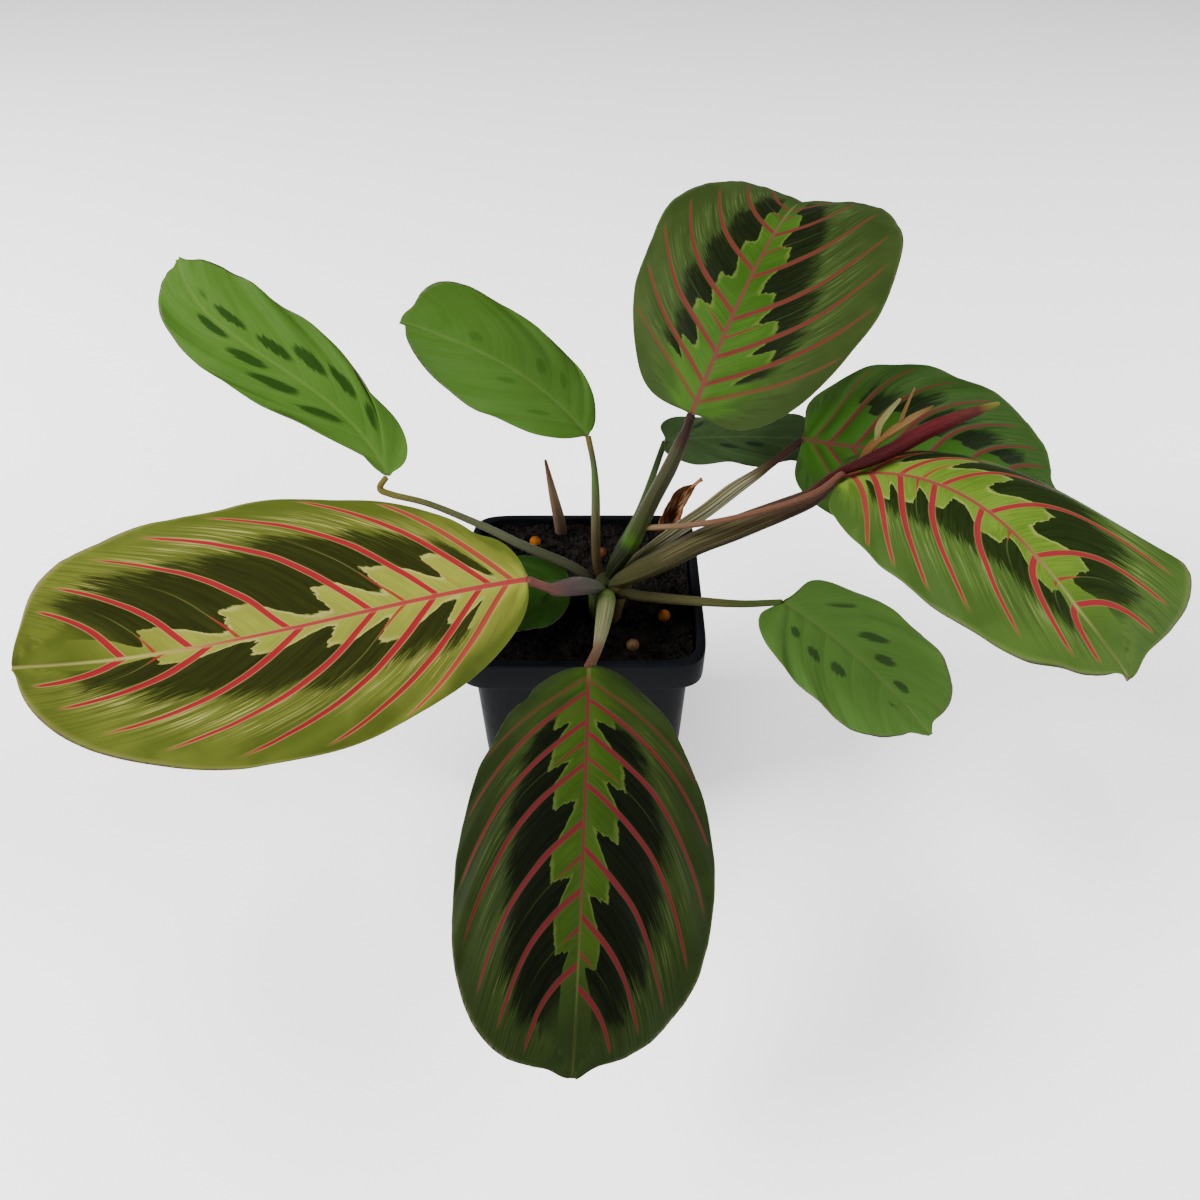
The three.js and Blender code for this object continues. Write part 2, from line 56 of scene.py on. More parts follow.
class Wire:
    # a socket that takes part in Python sums; each operator adds one Math node
    def __init__(self, paint, socket):
        self.paint = paint
        self.socket = socket

    def maths(self, operation, first, second=0.0, clamp=False):
        # the result of one Math node, held to 0..1 when clamp is true
        settings = {"operation": operation, "use_clamp": clamp}
        return self.paint.node("ShaderNodeMath", settings, {0: first, 1: second})

    def __add__(self, other):
        return self.maths("ADD", self, other)

    def __sub__(self, other):
        return self.maths("SUBTRACT", self, other)

    def __rsub__(self, other):
        return self.maths("SUBTRACT", other, self)

    def __mul__(self, other):
        return self.maths("MULTIPLY", self, other)

    def __truediv__(self, other):
        return self.maths("DIVIDE", self, other)

    __radd__ = __add__
    __rmul__ = __mul__

    def size(self):
        return self.maths("ABSOLUTE", self)

    def fraction(self):
        return self.maths("FRACT", self)

    def whole(self):
        return self.maths("FLOOR", self)

    def over(self, edge):
        return self.maths("GREATER_THAN", self, edge)

    def clamped(self):
        return self.maths("ADD", self, 0.0, clamp=True)

    def rise(self, low, high):
        # 0 below low, 1 above high, smooth between
        sockets = {"Value": self, "From Min": low, "From Max": high}
        return self.paint.node("ShaderNodeMapRange", {"interpolation_type": "SMOOTHSTEP"}, sockets)

    def fall(self, low, high):
        # 1 below low, 0 above high, smooth between
        return 1.0 - self.rise(low, high)

    def mix(self, share, top, blend="MIX"):
        # this colour under a share of another
        return self.paint.mix(share, self, top, blend)


class Paint:
    # one material and its nodes
    def __init__(self, name, roughness=0.5, gloss=finish["gloss"]):
        self.material = bpy.data.materials.new(name)
        self.material.use_nodes = True
        self.tree = self.material.node_tree
        self.shader = self.tree.nodes["Principled BSDF"]
        self.shader.inputs["Roughness"].default_value = roughness
        self.shader.inputs["Specular IOR Level"].default_value = gloss

    def node(self, kind, settings, sockets, output=0):
        # settings first, then values or wires on the sockets; gives the wire of one output
        made = self.tree.nodes.new(kind)
        for key, value in settings.items():
            if key == "stops":
                while len(made.color_ramp.elements) < len(value):
                    made.color_ramp.elements.new(0.5)
                for stop, (place, code) in zip(made.color_ramp.elements, value):
                    stop.position = place
                    stop.color = colour(code)
            else:
                setattr(made, key, value)
        for key, value in sockets.items():
            if isinstance(value, Wire):
                self.tree.links.new(value.socket, made.inputs[key])
            else:
                made.inputs[key].default_value = value
        return Wire(self, made.outputs[output])

    def attribute(self, name):
        # the three numbers of a piece's own vertex attribute
        vector = self.node("ShaderNodeAttribute", {"attribute_name": name}, {}, "Vector")
        return [self.node("ShaderNodeSeparateXYZ", {}, {0: vector}, i) for i in range(3)]

    def place(self):
        return self.node("ShaderNodeTexCoord", {}, {}, "Object")

    def vector(self, x, y, z=0.0):
        return self.node("ShaderNodeCombineXYZ", {}, {0: x, 1: y, 2: z})

    def noise(self, vector, scale, detail, roughness=0.5):
        sockets = {"Vector": vector, "Scale": scale, "Detail": detail, "Roughness": roughness}
        return self.node("ShaderNodeTexNoise", {}, sockets)

    def cells(self, vector, scale):
        return self.node("ShaderNodeTexVoronoi", {}, {"Vector": vector, "Scale": scale}, "Distance")

    def mix(self, share, first, second, blend="MIX"):
        settings = {"data_type": "RGBA", "blend_type": blend}
        ends = [colour(c) if isinstance(c, str) else c for c in (first, second)]
        return self.node("ShaderNodeMix", settings, {0: share, 6: ends[0], 7: ends[1]}, 2)

    def ramp(self, share, stops):
        return self.node("ShaderNodeValToRGB", {"stops": stops}, {0: share})

    def bump(self, height, distance, strength):
        # distance in metres
        sockets = {"Height": height, "Distance": distance, "Strength": strength}
        return self.node("ShaderNodeBump", {}, sockets)

    def wear(self, **sockets):
        # puts each wire on its socket of the shader and gives the finished material
        for name, wire in sockets.items():
            self.tree.links.new(wire.socket, self.shader.inputs[name.replace("_", " ")])
        return self.material


welding = dict(merge=2e-6, least=1e-7)  # metres: points closer than merge become one


def addObject(name, data):
    # an object at the origin that holds the data
    holder = bpy.data.objects.new(name, data)
    bpy.context.scene.collection.objects.link(holder)
    return holder


def makePiece(name, grid, material, node, attributes=None, sharp=None):
    # grid: rows x columns x 3 points in mm; each row's last point joins its first
    rows, columns = grid.shape[:2]
    here = np.arange(rows * columns).reshape(rows, columns)
    step = np.roll(here, -1, axis=1)
    faces = np.stack([here[:-1], step[:-1], step[1:], here[1:]], -1).reshape(-1, 4)
    return finishPiece(name, grid.reshape(-1, 3), faces, material, node, attributes, sharp)


def finishPiece(name, points, faces, material, node, attributes=None, sharp=None):
    # welds the shell, turns its faces outwards, gives it its material slot, hangs it under the root
    # body and hides its CAD node; sharp: edges steeper than this many degrees stay hard
    mesh = bpy.data.meshes.new(name)
    mesh.from_pydata((points * metre).tolist(), [], faces.tolist())
    for key, values in (attributes or {}).items():
        layer = mesh.attributes.new(key, "FLOAT_VECTOR", "POINT")
        layer.data.foreach_set("vector", np.ascontiguousarray(values, dtype=np.float32).ravel())
    shell = bmesh.new()
    shell.from_mesh(mesh)
    bmesh.ops.remove_doubles(shell, verts=shell.verts, dist=welding["merge"])
    bmesh.ops.dissolve_degenerate(shell, edges=shell.edges, dist=welding["least"])
    if shell.calc_volume(signed=True) < 0:
        bmesh.ops.reverse_faces(shell, faces=shell.faces)
    shell.to_mesh(mesh)
    shell.free()
    mesh.polygons.foreach_set("use_smooth", np.ones(len(mesh.polygons), dtype=bool))
    if sharp:
        mesh.set_sharp_from_angle(angle=math.radians(sharp))
    mesh.materials.append(material)
    piece = addObject(name, mesh)
    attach(piece, "root")
    if node:
        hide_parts(node)
    return piece


def through(three, s):
    # a value given at shares 0, 1/2 and 1: a(1-s)(1-2s) + 4b s(1-s) + c s(2s-1)
    a, b, c = three
    return a * (1 - s) * (1 - 2 * s) + b * 4 * s * (1 - s) + c * s * (2 * s - 1)


def smoothStep(value, low, high):
    # 3t^2 - 2t^3 with t = (value - low) / (high - low) held to 0..1
    t = np.clip((value - low) / (high - low), 0, 1)
    return t * t * (3 - 2 * t)


def bell(distance, width):
    # exp(-(distance / width)^2): 1 in the middle, almost 0 two widths away
    return np.exp(-(distance / width) ** 2)


def unit(vectors):
    # each vector over its own length
    return vectors / np.maximum(np.linalg.norm(vectors, axis=-1, keepdims=True), 1e-9)


def ripple(x, y, seed):
    # a smooth uneven field in about -1..1: five crossed sines (steps in x and y, phase) whose
    # lengths don't repeat, each one weaker than the last
    crossed = [(1, 0.6, 0.3), (-0.7, 1.3, 1.7), (1.9, 1.1, 4.1), (-1.4, 2.3, 2.6), (3.1, -2.7, 5.2)]
    total = 0
    for k, (fx, fy, phase) in enumerate(crossed):
        total = total + np.sin(fx * x + fy * y + phase + seed * (k + 1.7)) / (1 + 0.5 * k)
    return total / 2.6


# leaf blades. base: where the stalk meets it (mm). heading, pitch and roll turn the midrib at base,
# middle and tip (degrees). left, right: each half's width (mm), where it is widest (share of the
# length) and how full its base and tip are. fold and curl bend the halves, left then right, at
# base, middle and tip (degrees). lobe: how far each half reaches behind the base, point: how far
# the tip reaches out (mm). wave: the margin's height (mm), waves in the length, phase. nick: half
# (-1 right), place and depth (mm) of a notch; neck: place and depth (share) of a waist in each
# half. hook: how much the veins bend at the margin. veins: where they leave, left half and right.
# cells: the mesh's rows and half its columns. relief: strength of grooves. look: the colouring.
usualBlade = dict(
    roll=(0, 0, 0), fold=((0, 0, 0), (0, 0, 0)), curl=((0, 0, 0), (0, 0, 0)), point=2.5, nick=None,
    neck=None, hook=0.38, cells=(190, 56), relief=1,
    veins=((0.15, 0.3, 0.46, 0.62, 0.77, 0.9), (0.2, 0.36, 0.52, 0.68, 0.82)))
blades = {
    "left": dict(
        base=(-14, -26, 88), length=123, heading=(200, 199.5, 196), pitch=(5.5, 0, 12),
        roll=(-26, -27, -22), left=(33, 0.5, 1.8, 2), right=(38.5, 0.57, 1.75, 3.2),
        fold=((-1.5, 0, 0.5), (0.5, 0.5, 2.5)), curl=((-13, -9, -9), (-7.5, -7.5, -18.5)),
        lobe=(1, 1.5), point=1, wave=(0.7, 4, 0.5), nick=(-1, 0.09, 2), look="bright",
        veins=((0.172, 0.28, 0.41, 0.535, 0.66, 0.79, 0.893),
               (0.14, 0.245, 0.40, 0.545, 0.68, 0.815, 0.893))),
    "front": dict(
        base=(2.5, -54, 83), length=94.7, heading=(269.5, 268, 264.5), pitch=(2, -24.5, -55),
        roll=(-1, -2, -12), left=(30, 0.57, 1.7, 2.5), right=(28, 0.58, 1.9, 2.75),
        fold=((-1.5, 2.5, -4), (0.5, 5, 7)), curl=((-20, -21.5, -22.5), (-19, -17.5, -26.5)),
        lobe=(1.5, 1), wave=(0.6, 5, 2), nick=(-1, 0.12, 1.5), look="dark",
        veins=((0.19, 0.30, 0.43, 0.565, 0.69, 0.795, 0.895),
               (0.16, 0.26, 0.39, 0.515, 0.643, 0.757, 0.864))),
    "upper": dict(
        base=(28.5, -6.4, 126.6), length=84, heading=(50.5, 61, 68.5), pitch=(55.5, 26.5, -25),
        roll=(-4, -7.5, -4), left=(33.2, 0.48, 2.4, 2.5), right=(34.7, 0.44, 2, 2.4),
        fold=((-9.5, 2.5, 17), (-10.5, -7, 5.5)), curl=((0, -5, 1.5), (16.5, -0.5, -14.5)),
        lobe=(1.9, 3.1), wave=(0.6, 3, 1), look="green",
        veins=((0.16, 0.27, 0.40, 0.53, 0.66, 0.78, 0.88),
               (0.15, 0.26, 0.38, 0.51, 0.64, 0.77, 0.88))),
    "right": dict(
        base=(66, -18, 115), length=87.4, hook=0.62, heading=(345, 297, 306),
        pitch=(23.5, -2.5, -29), roll=(3.5, 13, 7.5), left=(32.6, 0.65, 1.6, 2.8),
        right=(27.6, 0.43, 2.45, 1.9), fold=((2, 10.5, 1), (9.5, 10, 1.5)),
        curl=((-69, -74.5, 7), (-32.5, -36.5, -40.5)), lobe=(4, 5), wave=(0.5, 4, 0),
        nick=(-1, 0.93, 1.5), look="lime",
        veins=((0.15, 0.26, 0.38, 0.52, 0.66, 0.79, 0.89),
               (0.15, 0.26, 0.38, 0.50, 0.64, 0.79, 0.89))),
    "rear": dict(
        base=(62.1, 13.4, 106.6), length=73, heading=(-13, 2, -13), pitch=(-5, -10, -22),
        roll=(22, 27, 27.5), left=(31.5, 0.42, 2, 2.1), right=(27.3, 0.46, 2.25, 2.3),
        fold=((-2, 4, 3), (2, 0.5, -0.5)), curl=((-20, -12, -22.5), (-18.5, -19, -20.5)),
        lobe=(3.5, 3.2), wave=(0.6, 4, 1), look="deep",
        veins=((0.16, 0.28, 0.41, 0.54, 0.67, 0.79, 0.89),
               (0.15, 0.26, 0.39, 0.52, 0.65, 0.78, 0.88))),
    "backLeft": dict(
        base=(-55.5, 12.7, 95), length=97, heading=(123, 151.5, 110), pitch=(38.5, 19.5, 24.5),
        roll=(-14.5, -19, -15), left=(14, 0.55, 1.5, 2.3), right=(16.8, 0.58, 2.2, 2.6),
        neck=((0.12, 0.36), (0.25, 0.26)), fold=((1, 0.5, 2), (-2, 1.5, 2)),
        curl=((-1, 0.5, 4.5), (-1.5, 5.5, -1.5)), lobe=(0.5, 2), wave=(1, 4, 0), look="young",
        veins=((0.18, 0.32, 0.46, 0.6, 0.74, 0.87), (0.16, 0.3, 0.44, 0.58, 0.72, 0.85))),
    "backMid": dict(
        base=(1.8, 18.3, 105), length=78, heading=(126, 137.5, 155.5), pitch=(17.5, 4.5, 5.5),
        roll=(-14, -16.5, -34), left=(17, 0.49, 2.1, 1.75), right=(20, 0.62, 1.55, 3.4),
        fold=((4.5, -4.5, -2.5), (2, -4.5, 14.5)), curl=((3, -12, -4), (9, -11.5, 4)),
        lobe=(0.5, 0.5), wave=(0.5, 3, 2), look="plain",
        veins=((0.2, 0.34, 0.48, 0.62, 0.75, 0.87), (0.16, 0.3, 0.44, 0.58, 0.72, 0.85))),
    "lowRight": dict(
        base=(54, -28, 82), length=50, heading=(312, 306, 300), pitch=(0, -6, -14),
        left=(22, 0.5, 2.8, 2.3), right=(18, 0.5, 2.3, 3), curl=((-8, -8, -8), (-8, -8, -8)),
        lobe=(3, 3), wave=(0.5, 3, 1), look="spotted"),
    "behind": dict(
        base=(24.8, 32, 94.6), length=53, heading=(2, -2, -8), pitch=(4, 0, -4),
        left=(15, 0.45, 2.4, 2.2), right=(15, 0.45, 2.4, 2), lobe=(3, 3), wave=(1, 3, 0),
        look="shaded"),
    "lowLeft": dict(
        base=(-4, -5.3, 70.8), length=35, heading=(190, 195, 200), pitch=(4, -4, -10),
        roll=(-12, -12, -12), left=(16, 0.35, 2.1, 2), right=(11, 0.4, 2.2, 2), lobe=(1, 1),
        wave=(0.4, 3, 0), look="sprout",
        veins=((0.2, 0.38, 0.56, 0.74, 0.88), (0.28, 0.46, 0.64, 0.8))),
}

# Colours are the ones to be seen. reach: how far the light band reaches, as a share of the half
# width; step: where between two veins (0..1) it steps back; low: how much of it is left after that;
# spread: the band's factor at base and tip; soft: how gently it ends. blotch: share of the half
# width where the dark blotches end, near base and tip; uneven: how much further they reach on the
# right half; apart: how far they keep from the veins; first: the vein after which they start.
# vein, middle: half widths of veins and midrib (mm); faint: strength of the first veins; start: how
# pale the midrib starts; lined: strength of pale lines; tone: the blade's red, green, blue factors.
usualLook = dict(uneven=0, soft=0, apart=0, start=0, rough=0.5)
looks = {
    "bright": dict(
        # bright: the left blade's own colours, made lighter and yellower with painted light for the
        # light that falls on it
        edge="#5c6a26", pale="#828e38", dark="#292d12", band="#a8b244", leaf="#98a040",
        cream="#d2ca80", red="#b01c30", rib="#b63c42", border="#c8b878", streak="#bcb96a",
        reach=0.30, step=0.42, low=0.32, spread=(0.95, 1.0), blotch=(0.46, 0.86), uneven=0.08,
        first=1.4, vein=0.8, middle=0.72, faint=0.85, lined=1.0, tone=(1.0, 0.97, 0.95)),
    "dark": dict(
        # dark: the front blade's own colours, made darker with painted shade for the shade that
        # falls on it
        edge="#314420", pale="#3f5829", dark="#10160d", band="#466b22", leaf="#3a5b1d",
        cream="#688438", red="#802c34", rib="#783a36", border="#566034", streak="#5c7836",
        reach=0.30, step=0.56, low=0.4, spread=(0.72, 1.08), blotch=(0.38, 0.86), first=2.2,
        vein=0.58, middle=0.46, faint=0.4, lined=0.7, start=0.8, tone=(0.78, 0.66, 0.72),
        rough=0.45),
    "green": dict(
        edge="#425c29", pale="#547236", dark="#1a2412", band="#568a2e", leaf="#447522",
        cream="#7f9f45", red="#8a403a", rib="#875244", border="#5f6e38", streak="#6f9250",
        reach=0.36, step=0.46, low=0.62, spread=(1.15, 0.85), blotch=(0.52, 0.68), apart=0.04,
        first=1.5, vein=0.6, middle=0.7, faint=0.6, lined=0.7, tone=(0.74, 0.64, 0.66), rough=0.55),
    "lime": dict(
        edge="#48662c", pale="#5f7f3a", dark="#1f2a12", band="#7a9c38", leaf="#5f822a",
        cream="#b0b868", red="#a62c3a", rib="#9c4a46", border="#97955a", streak="#90a662",
        reach=0.38, step=0.44, low=0.45, spread=(1.0, 1.1), blotch=(0.52, 0.8), uneven=-0.06,
        apart=0.02, first=1.4, vein=0.74, middle=0.7, faint=0.85, lined=0.6,
        tone=(0.94, 0.92, 0.82)),
    "deep": dict(
        edge="#3e6424", pale="#4c7630", dark="#1c2814", band="#42781f", leaf="#3d7220",
        cream="#457822", red="#7a3e34", rib="#7a4a3a", border="#52652f", streak="#547a30",
        reach=0.42, step=0.5, low=0.85, spread=(1.25, 0.95), blotch=(0.7, 0.78), soft=0.12,
        apart=0.14, first=1.7, vein=0.6, middle=0.66, faint=0.4, lined=0.4, start=0.3,
        tone=(1.05, 0.92, 1.15)),
}
# young leaves: at, wide, tall: where each spot lies between midrib and margin and its half sizes
# (shares of half width and cell); round: how much rounder it is on the right half; few: share of
# cells without one; late: how much later the spots start on the left half
usualSpots = dict(round=0, few=0.5, late=0, rough=0.55)
spotLooks = {
    "young": dict(
        edge="#5a8236", dark="#2c4a1c", vein="#6c8f46", rib="#7d9a50", at=0.4, wide=0.2, tall=0.34,
        round=0.38, few=0.0, late=0.14, tone=(0.76, 0.84, 0.62)),
    "plain": dict(
        edge="#4f782b", dark="#476f28", vein="#5a833a", rib="#6c8b46", at=0.3, wide=0.12, tall=0.2,
        tone=(0.78, 0.79, 0.7)),
    "spotted": dict(
        edge="#456f26", dark="#2a451e", vein="#4f7a2e", rib="#567636", at=0.42, wide=0.15,
        tall=0.24, round=0.45, few=0.1, tone=(1.4, 1.15, 1.6), rough=0.5),
    # shaded: the blade behind the others, its colours and tone darker and greyer as painted shade
    # for the shade that falls on it
    "shaded": dict(
        edge="#35552f", dark="#203428", vein="#4a6b42", rib="#50704a", at=0.36, wide=0.12,
        tall=0.24, tone=(0.9, 0.7, 0.68)),
    "sprout": dict(
        edge="#315d1e", dark="#28501a", vein="#467228", rib="#547a3a", at=0.3, wide=0.12, tall=0.2,
        tone=(0.8, 0.7, 0.8), rough=0.5),
}
# heights and widths in mm; the ones that end in Reach are shares of the blade's length
bladeBuild = dict(
    thickness=0.36, groove=0.22, grooveWidth=0.9, pucker=0.28, rib=0.22, ribWidth=0.5, keel=0.9,
    keelWidth=1.0, channel=0.35, channelWidth=1.1, marginRipple=0.25, leastWidth=0.8,
    veinStart=1.8, veinEnd=2.2, leastHook=0.12, hookReach=0.3, nickReach=0.03, neckReach=0.09,
    lobeReach=0.06, pointReach=0.04, courseSteps=200)


def halfWidth(side, x):
    # two quarters of a rounded oval: w (1 - |(x - at) / reach|^n)^(1/n)
    width, widest, baseFull, tipFull = side
    low = 1 - np.clip((widest - x) / widest, 0, 1) ** baseFull
    high = 1 - np.clip((x - widest) / (1 - widest), 0, 1) ** tipFull
    return width * np.where(x < widest, low ** (1 / baseFull), high ** (1 / tipFull))


def bladeSurface(blade, u, v):
    # u: which vein, base to tip; v: left margin 1, midrib 0, right margin -1.
    # A vein leaves the midrib at u^1.8 and ends at 1-(1-u)^2.2 of the length; between them it runs
    # as (1 - hook) a + hook a^4. The two halves fold and curl like arcs about a midrib whose
    # heading and pitch are summed along its length. Gives the points and their reach from it.
    build = bladeBuild
    left = v >= 0
    a = np.abs(v)
    end = 1 - (1 - u) ** build["veinEnd"]
    width = np.where(left, halfWidth(blade["left"], end), halfWidth(blade["right"], end))
    if blade["nick"]:
        side, place, depth = blade["nick"]
        depth = np.where(left == (side > 0), depth, 0)
        width = width - depth * bell(end - place, build["nickReach"])
    if blade["neck"]:
        place, depth = (np.where(left, *pair) for pair in zip(*blade["neck"]))
        width = width * (1 - depth * bell(end - place, build["neckReach"]))
    width = np.maximum(width, build["leastWidth"])
    hook = build["leastHook"] + blade["hook"] * (1 - bell(u, build["hookReach"]))
    start = u ** build["veinStart"]
    length = blade["length"]
    x = (start + (end - start) * ((1 - hook) * a + hook * a ** 4)) * length
    lobe = np.where(left, *blade["lobe"])
    behind = end / build["lobeReach"]
    x = x - lobe * behind * np.exp(1 - behind) * a ** 2.6
    x = x + blade["point"] * bell(1 - u, build["pointReach"])
    t = a * width

    steps = build["courseSteps"]
    s = (np.arange(steps) + 0.5) / steps

    def ahead(share):
        # the way the midrib runs: (cos pitch cos heading, cos pitch sin heading, sin pitch)
        heading = np.radians(through(blade["heading"], share))
        pitch = np.radians(through(blade["pitch"], share))
        flat = np.cos(pitch)
        return np.stack([flat * np.cos(heading), flat * np.sin(heading), np.sin(pitch)], -1)

    course = np.vstack([np.zeros(3), np.cumsum(ahead(s) * length / steps, axis=0)]) + blade["base"]
    marks = np.linspace(0, length, steps + 1)
    held = np.clip(x, 0, length)
    middle = np.stack([np.interp(held, marks, course[:, i]) for i in range(3)], -1)
    share = held / length
    forward = ahead(share)
    middle = middle + (x - held)[..., None] * forward
    heading = np.radians(through(blade["heading"], share))
    roll = np.radians(through(blade["roll"], share))[..., None]
    level = np.stack([-np.sin(heading), np.cos(heading), 0 * heading], -1)
    upright = np.cross(forward, level)
    sideways = np.cos(roll) * level + np.sin(roll) * upright
    normal = np.cos(roll) * upright - np.sin(roll) * level

    def half(key):
        # a value through base, middle and tip of the half that each point is on
        return np.where(left, through(blade[key][0], share), through(blade[key][1], share))

    fold = np.radians(half("fold"))
    bend = np.radians(half("curl")) / np.where(left, blade["left"][0], blade["right"][0])
    bend = np.where(np.abs(bend) < 1e-6, 1e-6, bend)  # a flat half is a very wide arc
    out = (np.sin(fold + bend * t) - np.sin(fold)) / bend
    up = (np.cos(fold) - np.cos(fold + bend * t)) / bend
    height, count, phase = blade["wave"]
    up = up + height * a ** 2 * np.sin(2 * np.pi * count * end + phase + np.where(left, 0, 1.3))
    points = middle + np.where(left, out, -out)[..., None] * sideways + up[..., None] * normal
    return points, t


def makeBlade(name, blade, material, node):
    # the sheet between its top and its underside, both moved off bladeSurface along its normal:
    # grooves over the veins, puckers between them, ribs and a keel below
    build = bladeBuild
    rows, half = blade["cells"]
    u = (1 - np.cos(np.pi * np.arange(rows + 1) / rows)) / 2
    v = np.linspace(1, -1, 2 * half + 1)
    v = np.sign(v) * (1 - (1 - np.abs(v)) ** 1.15)
    u, v = np.meshgrid(u, v, indexing="ij")
    points, t = bladeSurface(blade, u, v)
    alongVeins = np.gradient(points, axis=1)
    acrossVeins = np.gradient(points, axis=0) / np.gradient(u, axis=0)[..., None]
    # the sheet's normal, and how many mm one unit of u takes at right angles to the veins
    normal = unit(np.cross(acrossVeins, -alongVeins))
    away = np.linalg.norm(np.cross(acrossVeins, alongVeins), axis=-1)
    leftVeins, rightVeins = ([0.0, *places, 1.0] for places in blade["veins"])
    cell = np.where(v >= 0, np.interp(u, leftVeins, np.arange(len(leftVeins))),
                    np.interp(u, rightVeins, np.arange(len(rightVeins))))
    perCell = np.gradient(u, axis=0) / np.maximum(np.gradient(cell, axis=0), 1e-6)
    spacing = away / np.maximum(np.linalg.norm(alongVeins, axis=-1), 1e-6) * perCell
    a = np.abs(v)
    fromVein = np.abs(cell - np.round(cell)) * spacing
    fade = smoothStep(a, 0, 0.12) * (1 - smoothStep(a, 0.7, 1)) * smoothStep(u, 0.02, 0.12)
    relief = -build["groove"] * bell(fromVein, build["grooveWidth"]) * fade
    relief = relief + build["pucker"] * np.sin(np.pi * (cell % 1)) ** 2 * fade
    relief = relief * blade["relief"]
    relief = relief - build["channel"] * bell(t, build["channelWidth"]) * (1 - u)
    relief = relief + build["marginRipple"] * a ** 3 * ripple(40 * u, 2 * v, len(name))
    # top and bottom meet in a thin round edge, at the margins and at base and tip
    closing = np.sqrt(np.clip(1 - (2 * u - 1) ** 40, 0, 1))
    thick = build["thickness"] * np.sqrt(np.clip(1 - a ** 8, 0, 1)) * 0.5 * closing
    keel = build["keel"] * bell(t, build["keelWidth"]) * (1 - u) ** 0.7 * closing
    ribs = build["rib"] * bell(fromVein, build["ribWidth"]) * fade
    top = points + (relief + thick)[..., None] * normal
    bottom = points + (relief - thick - keel - ribs)[..., None] * normal
    grid = np.concatenate([top, bottom[:, ::-1]], axis=1)
    under = np.concatenate([0 * u, 0 * u + 1], axis=1)

    def both(values):
        # the same values on top and below, where the columns run back
        return np.concatenate([values, values[:, ::-1]], axis=1)

    place = np.stack([both(cell), both(v), under], -1)
    size = np.stack([both(spacing), both(t), both(u)], -1)
    makePiece("leaf_" + name, grid, material, node, {"leafPlace": place, "leafSize": size})


# noise along the veins: grains from one vein to the next, grains from midrib to margin, detail
# and roughness of each
grains = dict(streaks=(11.0, 2.0, 3.0, 0.6), fine=(36.0, 3.4, 2.0, 0.55),
              thread=(13.0, 2.4, 1.0, 0.5), jag=(9.0, 14.0, 3.0, 0.6),
              youngStreaks=(10.0, 2.2, 3.0, 0.6), youngFine=(30.0, 3.5, 2.0, 0.6),
              sway=0.08, swayScale=70.0)


def leafPlaces(paint, wanted):
    # the wanted ones of the values that a leaf's colouring starts from. cell: veins counted from
    # the base; c: 0..1 from one vein to the next; perCell: a random share for each cell; side: 1
    # on the left half; a: 0 at the midrib, 1 at the margin; under: 1 below; spacing, reach and
    # fromVein: mm from vein to vein, from the midrib and from the nearest vein
    cell, v, under = paint.attribute("leafPlace")
    spacing, reach, u = paint.attribute("leafSize")
    side = v.over(0.0)
    a = v.size()
    sway = paint.noise(paint.place(), grains["swayScale"], 1.0) - 0.5
    cell = cell + sway * grains["sway"]
    c = cell.fraction()
    number = cell.whole() + side * 17.3
    perCell = paint.node("ShaderNodeTexWhiteNoise", {"noise_dimensions": "1D"}, {"W": number})
    fromVein = (0.5 - (c - 0.5).size()) * spacing

    def grain(kind, halves=5.0, shift=0.0):
        # noise at (cell across, a along), so that it runs with the veins; the halves differ
        across, along, detail, roughness = grains[kind]
        place = paint.vector(cell * across, a * along, side * halves + shift)
        return paint.noise(place, 1.0, detail, roughness)

    known = dict(cell=cell, c=c, perCell=perCell, side=side, a=a, u=u, under=under,
                 spacing=spacing, reach=reach, fromVein=fromVein, grain=grain)
    return [known[name] for name in wanted.split()]


# how uneven the pattern's edges are: the step's place (share of a cell), the band's width and the
# blotches' ends (shares of the half width)
pattern = dict(stepRandom=0.2, stepJag=0.14, bandRandom=0.06, bandJag=0.07, endRandom=0.08,
               ragged=0.34, raggedFine=0.42)


